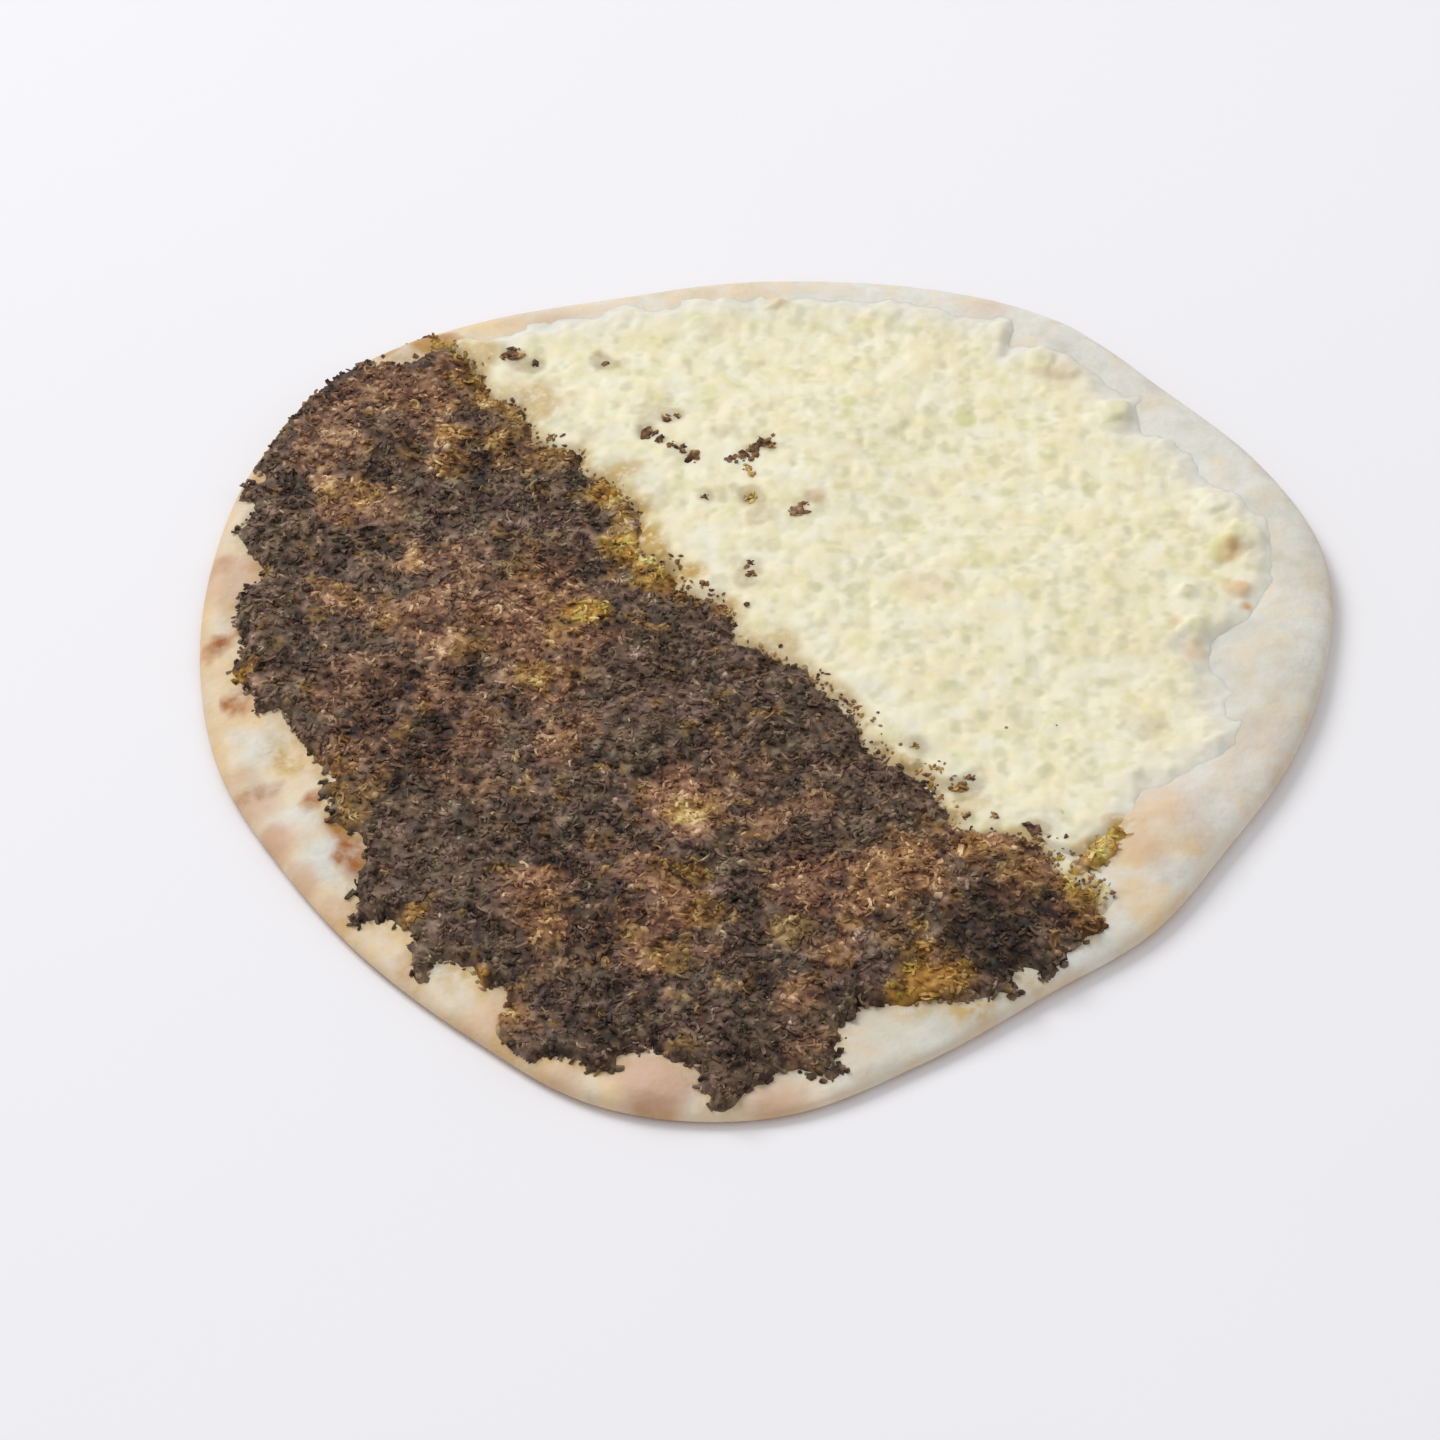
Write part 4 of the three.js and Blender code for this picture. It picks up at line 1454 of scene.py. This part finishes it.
    pale_spots: Rows = (
        (-98, 84, 9, 0.4), (-32, 45, 4, 1.2), (-29, 37, 4, 1.0), (-82, 28, 3, 1.2), (-71, 1, 4, 1.2),
        (-84, 45, 5, 0.3), (-79, 95, 4, 0.5), (-77, 84, 4, 0.6), (-76, 74, 3, 0.5), (-64, 77, 3, 0.5),
        (-95, 82, 6, 0.3), (-60, 27, 6, 0.35), (-68, 86, 5, 0.9), (-62, 84, 4, 0.7), (-75, 100, 4, 0.7),
        (-68, 103, 4, 0.8), (-36, 49, 5, 0.9), (-34, 40, 6, 1.0), (-29, 33, 4, 0.7), (-43, 52, 3, 0.6),
        (-50, 38, 3, 0.5), (-42, 12, 4, 0.7), (-58, -8, 4, 0.9), (-52, -9, 3, 0.6), (-63, -5, 3, 0.5),
        (-27, 18, 4, 0.4), (2, -88, 5, 0.6), (-8, -90, 5, 0.4), (33, -91, 3, 0.5), (0, -113, 5, 0.4),
        (9, -117, 3, 0.4), (36, -103, 5, 0.4), (69, -68, 6, 0.8), (74, -62, 6, 0.9), (77, -58, 6, 1.2),
        (-98, 99, 7, 0.45), (-104, 70, 7, 0.45), (-27, -36, 5, 0.5), (-52, -74, 4, 0.4),
        (-84, 29, 4, 0.8), (-72, 48, 4, 0.4), (-80, 110, 5, 0.7))
    dark_spots: Rows = (
        (-40, -88, 14, 0.5), (-34, -104, 12, 0.45), (14, -72, 13, 0.45), (-50, 10, 5, 0.4),
        (-40, 8, 6, 0.4), (-103, 93, 8, 0.9), (0, -100, 8, 0.4), (-60, -60, 12, 0.25),
        (-50, 24, 6, 0.5), (-88, 42, 8, 0.4), (-99, 88, 5, 0.5), (-73, 66, 4, 0.8), (-94, 56, 4, 0.4),
        (-86, -13, 7, 0.9), (-87, -24, 12, 1.0), (-84, -33, 6, 0.8), (-79, -25, 7, 0.3),
        (-117, -6, 4, 0.8), (-37, 12, 5, 0.8), (-43, -24, 5, 0.6), (-25, -38, 6, 0.7),
        (-28, -66, 6, 0.5), (-46, -10, 4, 0.5), (-47, -79, 4, 0.4), (-72, -14, 5, 0.5),
        (-49, -70, 6, 0.6), (-17, -82, 5, 0.6), (-3, -76, 5, 0.5), (14, -101, 7, 0.7),
        (-11, -98, 4, 0.5), (5, -99, 5, 0.4), (26, -86, 5, 0.6), (46, -94, 6, 0.9), (63, -84, 4, 0.9),
        (12, -64, 6, 0.4), (-18, 20, 4, 0.5), (-116, 57, 4, 1.0), (-105, 93, 9, 1.0),
        (-115, 60, 7, 1.2), (-70, 65, 6, 1.0), (-86, 92, 6, 0.6), (-60, 71, 5, 0.6), (-72, -12, 6, 0.6),
        (-86, -12, 8, 0.8), (-96, 98, 9, 0.5), (-105, 98, 6, 0.7), (50, -88, 12, 0.8),
        (59, -96, 7, 0.8), (-70, -10, 9, 0.7), (-60, -16, 8, 0.6), (-84, -40, 8, 0.6),
        (-36, -112, 10, 0.5), (-46, 30, 9, 0.4), (4, -62, 9, 0.5), (-74, 52, 8, 0.4), (-8, -92, 8, 0.4),
        (-40, -60, 10, 0.3), (-66, 66, 7, 0.5))

    def depth(self, x: np.ndarray, y: np.ndarray) -> np.ndarray:
        """Find the distance inside the zaatar's outline, its corners rounded off.

        Args:
            x: millimetres.
            y: millimetres.

        Returns:
            The distance, negative outside the outline and on bare spots.
        """
        turns = [math.tau * k / self.corners for k in range(self.corners)]
        depth = np.mean([FORM.zaatar_depth(x + self.rounding * math.cos(turn),
                                           y + self.rounding * math.sin(turn))
                         for turn in turns], axis=0)
        for px, py, radius in self.bare_spots:
            depth = np.minimum(depth, np.hypot(x - px, y - py) - radius)
        for px, py, radius in self.tips:
            depth = np.maximum(depth, radius - np.hypot(x - px, y - py))
        return depth

    def surface(self, x: np.ndarray, y: np.ndarray) -> np.ndarray:
        """Find the height of the paste, clumped and sinking into the dough at its outline.

        Args:
            x: millimetres.
            y: millimetres.

        Returns:
            The height, in millimetres.
        """
        inside = self.uneven_depth(x, y)
        thickness = (self.edge_height + self.edge_rise * smooth(inside, -self.margin, self.edge_reach)
                     + self.swell * smooth(inside, 0.0, self.swell_reach))
        relief = (self.clump * layered_lumps(x, y, self.clump_layers)
                  + self.wave * layered_noise(x, y, self.wave_size, 73, 2))
        return FORM.top(x, y) + thickness + relief * smooth(inside, -self.margin, self.clump_reach)

    def spots(self, x: np.ndarray, y: np.ndarray) -> dict[str, np.ndarray]:
        """Find where the paste is rusty, golden, and darker or lighter, with shade painted into the creases
        between its clumps.

        Args:
            x: millimetres.
            y: millimetres.

        Returns:
            The fields by name; shade is from -1, light, to 1, dark.
        """
        flecks = smooth(value_noise(x, y, self.gold_fleck_size, 25), *self.gold_fleck_range)
        thin = patches(x, y, self.thin_spots, 0.4, 35)
        pale = np.maximum(thin, patches(x, y, self.pale_spots, 0.5, 33))
        # painted shade: darker in the creases between the clumps
        creases = 1 - smooth(layered_lumps(x, y, self.clump_layers), *self.crease_depth)
        shade = patches(x, y, self.dark_spots, 0.5, 27) + self.clump_crease_shade * creases
        return {"rusty": np.maximum(thin, patches(x, y, self.rust_spots, 0.6, 19)),
                "golden": np.maximum(self.gold_fleck * flecks, patches(x, y, self.gold_spots, 0.6, 23)),
                "shade": np.clip(shade - pale, -1.0, 1.0)}

    def strew(self, kind: Strewn) -> None:
        """Strew copies of one bit over the paste and dress them.

        Args:
            kind: which bit, and how many.
        """
        def on_paste(x: np.ndarray, y: np.ndarray) -> np.ndarray:
            """Where the bits may lie."""
            inside = self.uneven_depth(x, y) > kind.least_depth
            return inside & (FORM.inset_from_rim(x, y) > self.rim_gap)

        x, y = spread(on_paste, kind.count, kind.seed)
        draw = np.random.default_rng(kind.seed + 1)
        growth = np.clip(draw.lognormal(0.0, self.growth, (len(x), 1)), *self.growth_limits)
        sizes = np.array(kind.half_size) * growth * draw.uniform(*self.stretch, (len(x), 3))
        places = np.column_stack((x, y, self.resting_height(x, y) + kind.rise * sizes[:, 2]))
        marks = self.spots(x, y)
        brighter = self.brightening * np.maximum(marks["rusty"], marks["golden"])
        marks["tone"] = draw.normal(kind.tone, kind.tone_spread, len(x)) + brighter
        scatter = Scatter(kind.seed + 2, places, sizes, self.tilt, self.rough)
        obj = scatter.build(kind.name, Lump.model(kind.bit), marks)
        take(obj)
        bpy.ops.object.shade_smooth_by_angle(angle=SOFT_ANGLE)
        finish_piece(obj, Slot.ZAATAR, ZaatarFinish().material(f"{kind.name}_finish", True))

    def build(self) -> None:
        """Model the dark half and dress it."""
        paste = self.sheet("zaatar_paste")
        finish = ZaatarFinish().material("zaatar_paste_finish", False)
        finish_piece(paste, Slot.ZAATAR, finish, "zaatar_topping")
        for kind in self.strewn:
            self.strew(kind)


@dataclass
class CheeseTopping(Topping):
    """The pale half: melted curds and the dark crumbs strewn on them.

    Big curds are X, Y, height and reach, crumbs X, Y, size and how golden they are, and spots,
    smears and stains X, Y, reach and strength.
    """

    step: float = 0.53
    margin: float = 5.0
    ragged: float = 2.2
    ragged_size: float = 8.0
    overlap: float = 2.6  # how far the cheese goes under the zaatar
    overlap_fade: tuple[float, float] = (2.0, 9.0)
    edge_sink: float = 0.75
    body: float = 2.15
    body_reach: float = 9.0
    relief_cover: tuple[float, float] = (0.15, 0.85)
    curd_relief: float = 1.6
    curd_layers: Rows = ((0.45, 5.6, 217), (0.42, 3.3, 211), (0.13, 2.0, 213))
    curd_length: float = 0.78  # the melted curds are longer along Y by one over this
    wave: float = 0.25
    wave_size: float = 14.0
    curd_wobble: float = 0.35
    curd_wobble_size: float = 3.0
    curd_side: tuple[float, float] = (0.45, 1.1)
    dot_length: float = 0.72
    dot_pitch: float = 3.6
    dot_strength: float = 0.5
    # the shade painted into the creases between the curds: its strength, and the curd heights that it spans
    curd_shade_strength: float = 0.9
    curd_shade_range: tuple[float, float] = (0.08, 0.42)
    oily_border: float = 5.5
    oily_strength: float = 0.75
    herb_border: tuple[float, float] = (2.0, 5.0)
    herb_strength: float = 0.7
    fringe: int = 480  # fine crumbs along the zaatar
    fringe_sizes: tuple[float, float] = (0.3, 0.75)
    fringe_width: tuple[float, float] = (0.9, 1.6)
    heap: int = 16  # crumbs in one heap
    heap_spread: float = 0.45
    heap_sizes: tuple[float, float] = (0.5, 1.3)
    crumb_shape: tuple[float, float, float] = (1.2, 0.8, 0.42)
    crumb_stretch: tuple[float, float] = (0.6, 1.4)
    crumb_tone: float = 0.36
    crumb_tone_spread: float = 0.12
    golden_gain: float = 0.3
    big_curds: Rows = (
        (112, 38, 1.5, 5.0), (106.5, 35, 0.9, 3.6), (110.5, 21, 1.3, 4.4), (98.6, 8.4, 1.4, 4.8),
        (97.5, 21, 0.8, 3.2), (110, 0.5, 1.0, 3.8), (85, 84, 1.3, 4.4), (66.8, 101.6, 1.0, 4.8),
        (72.8, 99, 1.0, 4.2), (1.2, 126, 1.0, 4.2), (75.7, 59, 0.7, 3.8), (103, -30, 1.0, 4.4),
        (98, -44, 0.9, 3.8), (-16, 114.8, 0.8, 4.2), (108, -14, 1.0, 4.2), (91, 80, 0.8, 3.4),
        (104, 62, 0.9, 4.0), (114, 30, 0.8, 3.4), (88, -50, 0.8, 4.0), (58, 112, 0.8, 4.0),
        (30, 122, 0.8, 4.4), (96, 72, 0.8, 3.6), (106, 50, 0.9, 4.2), (78, 92, 0.8, 3.8))
    green_spots: Rows = (
        (48, 82, 2.5, 0.9), (48, 85.5, 2.0, 0.6), (106.5, 35, 4, 0.9), (110, 0.5, 4, 0.8),
        (99, 8, 5, 0.9), (68, 67, 5, 0.7), (67, 101, 6, 0.7), (36, 42, 4, 0.6), (1, 125, 5, 0.7),
        (20, 83, 2.6, 0.9), (20, 87, 2.4, 0.8), (-17, 118, 2.6, 0.7), (-14, 92, 2.4, 0.6),
        (112, 39, 5, 0.8), (86, 83, 4, 0.7), (50, 31, 4, 0.5))
    crumbs: Rows = (
        (-28.5, 75.5, 2.0, 0.2), (-24, 80.5, 1.4, 0.5), (-21.5, 82, 0.9, 0.6), (-25.5, 73.3, 1.1, 0.5),
        (-22.7, 71.5, 1.2, 0.5), (-20.3, 70, 1.2, 0.4), (-17.5, 67.6, 2.0, 0.4), (-8.3, 66.6, 1.3, 0.3),
        (-5.4, 67.4, 1.6, 0.3), (-2.6, 69.6, 1.8, 0.3), (-0.4, 71, 1.9, 0.3), (1.2, 70.4, 1.2, 0.5),
        (-4.5, 63, 1.2, 0.8), (-3.4, 60.6, 0.8, 0.9), (-4.1, 52.8, 1.6, 0.8), (-14.8, 53.3, 0.8, 0.5),
        (7, 48, 2.0, 0.1), (8.6, 50.6, 0.9, 0.3), (-4.2, 26.6, 1.2, 0.4), (-4.2, 30, 0.9, 0.5),
        (-61.5, 105.5, 1.7, 0.5), (-63.5, 105.3, 1.2, 0.6), (-56.3, 102.5, 1.0, 0.5),
        (-39.3, 102.5, 1.1, 0.3), (32.9, -29.4, 1.0, 0.6), (42.6, -42.5, 1.6, 0.5),
        (45, -39.9, 1.0, 0.4), (43.4, -52, 1.1, 0.3), (50, -53, 0.9, 0.3), (58.4, -56.6, 2.0, 0.1),
        (59, -60, 1.5, 0.4), (38, -37, 0.9, 0.5), (64, -66, 1.0, 0.9), (61, -67, 1.2, 0.8),
        (-59, 84, 1.0, 0.8), (-52, 76, 1.0, 0.5), (-15, 24, 1.0, 0.5), (-8, 11, 1.0, 0.5))
    smears: Rows = (
        (-28.5, 76, 4.2, 0.55), (-28, 80.5, 4.2, 0.28), (-24, 81, 3.4, 0.42), (-22.8, 89, 3.6, 0.21),
        (-25, 73.5, 2.8, 0.42), (-21.5, 71.5, 3.1, 0.42), (-17.7, 67.8, 3.9, 0.55), (-7, 67, 3.4, 0.48),
        (-3.5, 69, 3.4, 0.55), (-0.5, 70.6, 4.2, 0.55), (-4.5, 63, 3.1, 0.34), (-4.1, 53.4, 2.6, 0.4),
        (-1.7, 46.5, 2.8, 0.28), (-14.8, 53.3, 2.2, 0.34), (-8.8, 54, 3.1, 0.21), (8, 49.5, 2.6, 0.4),
        (10.5, 51.5, 2.4, 0.34), (-4.2, 30.5, 2.2, 0.3), (-4.6, 27.2, 2.4, 0.4), (-6.5, 24, 3.1, 0.42),
        (15.7, 26.4, 3.6, 0.24), (-25.4, 52, 3.6, 0.31), (-25.4, 55, 3.1, 0.24), (-43.2, 76, 4.5, 0.28),
        (-10.7, 76, 3.6, 0.24), (-61.3, 105.5, 4.8, 0.55), (-56.3, 102.5, 3.4, 0.42),
        (-39.3, 102.5, 3.6, 0.48), (75.7, 58, 3.4, 0.28), (33, -29, 3.9, 0.42),
        (42.6, -42.5, 4.2, 0.55), (45, -39.9, 3.1, 0.42), (43.4, -53, 3.6, 0.42), (50, -54, 3.4, 0.34),
        (51, -50, 2.5, 0.28), (58.4, -56, 3.4, 0.48), (97.5, 20.5, 3.6, 0.3), (70.7, -42, 3.6, 0.21),
        (86.3, -24.5, 4.2, 0.21), (82, -39, 4.2, 0.24))
    baked_spots: Rows = (
        (12, 51.5, 3.4, 0.45), (98, 2, 4, 0.35), (94, 10, 3, 0.4), (110.5, 21, 4, 0.7),
        (111.4, 15.8, 2.6, 1.0), (108, 33, 3, 0.5), (38, 23, 7, 0.2), (33, 25, 4, 0.25),
        (3, 125, 4, 0.35), (70, 98, 7, 0.25), (78, -56, 4, 0.7))
    stains: Rows = (
        (-37, 60, 7, 0.8), (-33, 52, 8, 1.0), (-31, 43, 7, 1.0), (-28, 34, 6, 0.9), (-21, 27, 6, 0.9),
        (-11, 16, 5, 0.8), (3, 4, 4, 0.5), (-54, 88, 7, 0.6), (-60, 82, 5, 0.5), (-71, 105, 6, 0.6),
        (66, -75, 7, 1.0), (71, -70, 8, 1.0), (77, -64, 7, 1.0), (81, -58, 6, 1.0), (-62, 92, 6, 0.4),
        (-4, 54, 3, 0.6), (110, 34, 4, 0.3), (44, -47, 5, 0.4))

    def depth(self, x: np.ndarray, y: np.ndarray) -> np.ndarray:
        """Distance inside the cheese's smooth outline."""
        return FORM.cheese_depth(x, y)

    def uneven_depth(self, x: np.ndarray, y: np.ndarray) -> np.ndarray:
        """Find the distance inside the outline: ragged at the rim, without a gap to the zaatar.

        Args:
            x: millimetres.
            y: millimetres.

        Returns:
            The distance, in millimetres.
        """
        near_zaatar = 1.0 - smooth(-FORM.zaatar_depth(x, y), *self.overlap_fade)
        bays = self.ragged * layered_noise(x, y, self.ragged_size, 61, 3)
        return self.depth(x, y) + (1.0 - near_zaatar) * bays + self.overlap * near_zaatar

    def crumble(self, x: np.ndarray, y: np.ndarray) -> np.ndarray:
        """Height of the curds that have melted together, from 0 in the creases to about 1."""
        return layered_lumps(x, self.curd_length * y, self.curd_layers)

    def surface(self, x: np.ndarray, y: np.ndarray) -> np.ndarray:
        """Find the height of the melted curds: only their tops show beyond the outline.

        Args:
            x: millimetres.
            y: millimetres.

        Returns:
            The height, in millimetres.
        """
        cover = smooth(self.uneven_depth(x, y), -self.margin, self.body_reach)
        relief = (self.curd_relief * self.crumble(x, y)
                  + self.wave * layered_noise(x, y, self.wave_size, 215, 2))
        wobble = self.curd_wobble * value_noise(x, y, self.curd_wobble_size, 219)
        for px, py, height, reach in self.big_curds:
            away = np.hypot(x - px, y - py) / reach + wobble
            relief += height * (1.0 - smooth(away, *self.curd_side))
        top = FORM.top(x, y) - self.edge_sink + self.body * cover
        return top + relief * smooth(cover, *self.relief_cover)

    def spots(self, x: np.ndarray, y: np.ndarray) -> dict[str, np.ndarray]:
        """Find where the cheese is white, green, thin, baked, stained by oil or by herbs, and where shade
        is painted between the curds.

        Args:
            x: millimetres.
            y: millimetres.

        Returns:
            The fields by name.
        """
        away = -FORM.zaatar_depth(x, y) + 1.5 * value_noise(x, y, 6.0, 95)
        border = 1.0 - smooth(away, 0.0, self.oily_border)
        reach = self.herb_border[0] + self.herb_border[1] * smooth(x, 5.0, 35.0)
        herbs = self.herb_strength * smooth(value_noise(x, y, 1.9, 98) - 0.9 * away / reach, 0.0, 0.4)
        # painted shade: dark dots and creases between the curds
        dots = lumps(x, self.dot_length * y, self.dot_pitch, 221) + 0.3 * value_noise(x, y, 1.5, 223)
        creases = self.curd_shade_strength * (1.0 - smooth(self.crumble(x, y), *self.curd_shade_range))
        fading = smooth(away, 4.0, 12.0) * (1.0 - smooth(self.uneven_depth(x, y), -1.0, 12.0))
        thickness = self.surface(x, y) - FORM.top(x, y)
        return {"tint": np.clip(0.5 + 0.5 * layered_noise(x, y, 5.0, 87), 0.0, 1.0),
                "baked": patches(x, y, self.baked_spots, 0.5, 29),
                "painted_curd_shade": np.maximum(self.dot_strength * smooth(dots, 0.55, 1.0), creases),
                "thin": np.maximum(0.95 * fading, 0.9 * (1.0 - smooth(thickness, 0.1, 1.5))),
                "greened": patches(x, y, self.green_spots, 0.5, 39),
                "smear": np.maximum(herbs, patches(x, y, self.smears, 0.9, 41)),
                "stain": np.maximum(self.oily_strength * border, patches(x, y, self.stains, 0.5, 37))}

    def fringe_weight(self, x: np.ndarray, y: np.ndarray) -> np.ndarray:
        """Find how thick the fine crumbs lie: most against the zaatar, and wider at the right.

        Args:
            x: millimetres.
            y: millimetres.

        Returns:
            A weight from 0 to 1.
        """
        away = -FORM.zaatar_depth(x, y)
        width = self.fringe_width[0] + self.fringe_width[1] * smooth(x, 0.0, 30.0)
        width = width * (1.0 + 0.8 * value_noise(x, y, 12.0, 97))
        return np.where((away > 0) & (FORM.cheese_depth(x, y) > -1.5), np.exp(-away / width), 0.0)

    def dark_crumbs(self) -> None:
        """Strew the dark crumbs: the named ones in ragged heaps, and fine ones along the zaatar."""
        draw = np.random.default_rng(311)
        heaps = np.repeat(np.array(self.crumbs), self.heap, axis=0)
        heap_xy = heaps[:, :2] + draw.normal(0.0, self.heap_spread, (len(heaps), 2)) * heaps[:, 2:3]
        fine_x, fine_y = spread(self.fringe_weight, self.fringe, 312, 200)
        x = np.concatenate((heap_xy[:, 0], fine_x))
        y = np.concatenate((heap_xy[:, 1], fine_y))
        half = np.concatenate((0.5 * heaps[:, 2] * draw.uniform(*self.heap_sizes, len(heaps)),
                               draw.uniform(*self.fringe_sizes, len(fine_x))))
        sizes = half[:, None] * np.array(self.crumb_shape) * draw.uniform(*self.crumb_stretch, (len(x), 3))
        places = np.column_stack((x, y, self.resting_height(x, y)))
        golden = np.clip(np.concatenate((heaps[:, 3] * draw.uniform(0.4, 1.6, len(heaps)),
                                         draw.uniform(0.0, 1.0, len(fine_x)))), 0.0, 1.0)
        tone = draw.normal(self.crumb_tone, self.crumb_tone_spread, len(x))
        marks = {"tone": tone + self.golden_gain * smooth(golden, 0.5, 1.0),
                 "rusty": draw.uniform(0.2, 0.9, len(x)), "golden": golden, "shade": np.zeros(len(x))}
        obj = Scatter(313, places, sizes, 0.5, 0.22).build("dark_crumbs", Lump.model(Bit.GRAIN), marks)
        take(obj)
        bpy.ops.object.shade_smooth_by_angle(angle=SOFT_ANGLE)
        finish_piece(obj, Slot.ZAATAR, ZaatarFinish().material("dark_crumb_finish", True))

    def build(self) -> None:
        """Model the pale half and dress it."""
        finish_piece(self.sheet("cheese_melt"), Slot.CHEESE, CheeseFinish().material(), "cheese_topping")
        self.dark_crumbs()


@dataclass(frozen=True)
class Lamp:
    """A square soft light: its place and side in metres, and its watts."""

    name: str
    place: tuple[float, float, float]
    side: float
    power: float

    def hang(self) -> None:
        """Hang the light so that it faces the bread."""
        deselect_all()
        bpy.ops.object.light_add(type="AREA", location=self.place)
        light = bpy.context.object
        light.name = self.name
        light.data.shape = "SQUARE"
        light.data.size = self.side
        light.data.energy = self.power
        light.rotation_euler = (-Vector(self.place)).to_track_quat("-Z", "Y").to_euler()


@dataclass
class Studio:
    """The floor, the soft lights and the camera, with its lengths in metres."""

    floor_size: float = 8.0
    look_at: tuple[float, float, float] = (-0.01119, -0.01479, 0.0)
    distance: float = 1.1899
    elevation: float = 44.5
    lens: float = 130.0
    nearest: float = 0.01
    lamps: tuple[Lamp, ...] = (
        Lamp("key_light", (-1.6, 1.6, 2.2), 1.6, 56.0),
        Lamp("fill_light", (1.2, -1.5, 2.2), 1.8, 5.0))
    air: float = 0.55
    air_colour: Colour = (1.0, 1.0, 1.0)

    def floor(self) -> None:
        """Lay the floor under the bread."""
        deselect_all()
        bpy.ops.mesh.primitive_plane_add(size=self.floor_size)
        obj = named("floor")
        obj.data.materials.append(FloorFinish().material())

    def camera(self) -> None:
        """Set the camera at the photograph's angle."""
        tilt = math.radians(self.elevation)
        place = Vector(self.look_at) + self.distance * Vector((0.0, -math.cos(tilt), math.sin(tilt)))
        deselect_all()
        bpy.ops.object.camera_add(location=place, rotation=(math.pi / 2 - tilt, 0.0, 0.0))
        camera = bpy.context.object
        camera.data.lens = self.lens
        camera.data.clip_start = self.nearest
        bpy.context.scene.camera = camera

    def soft_air(self) -> None:
        """Light the room evenly from all around, with colours shown as they are."""
        world = bpy.data.worlds.new("studio_air")
        world.use_nodes = True
        background = world.node_tree.nodes["Background"]
        background.inputs["Color"].default_value = (*self.air_colour, 1.0)
        background.inputs["Strength"].default_value = self.air
        bpy.context.scene.world = world
        bpy.context.scene.view_settings.view_transform = "Standard"

    def build(self) -> None:
        """Set up the studio."""
        self.floor()
        for lamp in self.lamps:
            lamp.hang()
        self.soft_air()
        self.camera()


def main() -> None:
    """Build the studio and the bread, logging each piece's triangles."""
    logging.basicConfig(level=logging.INFO, format="%(name)s %(message)s")
    Studio().build()
    Flatbread().build()
    ZaatarTopping().build()
    CheeseTopping().build()


if __name__ == "__main__":
    main()
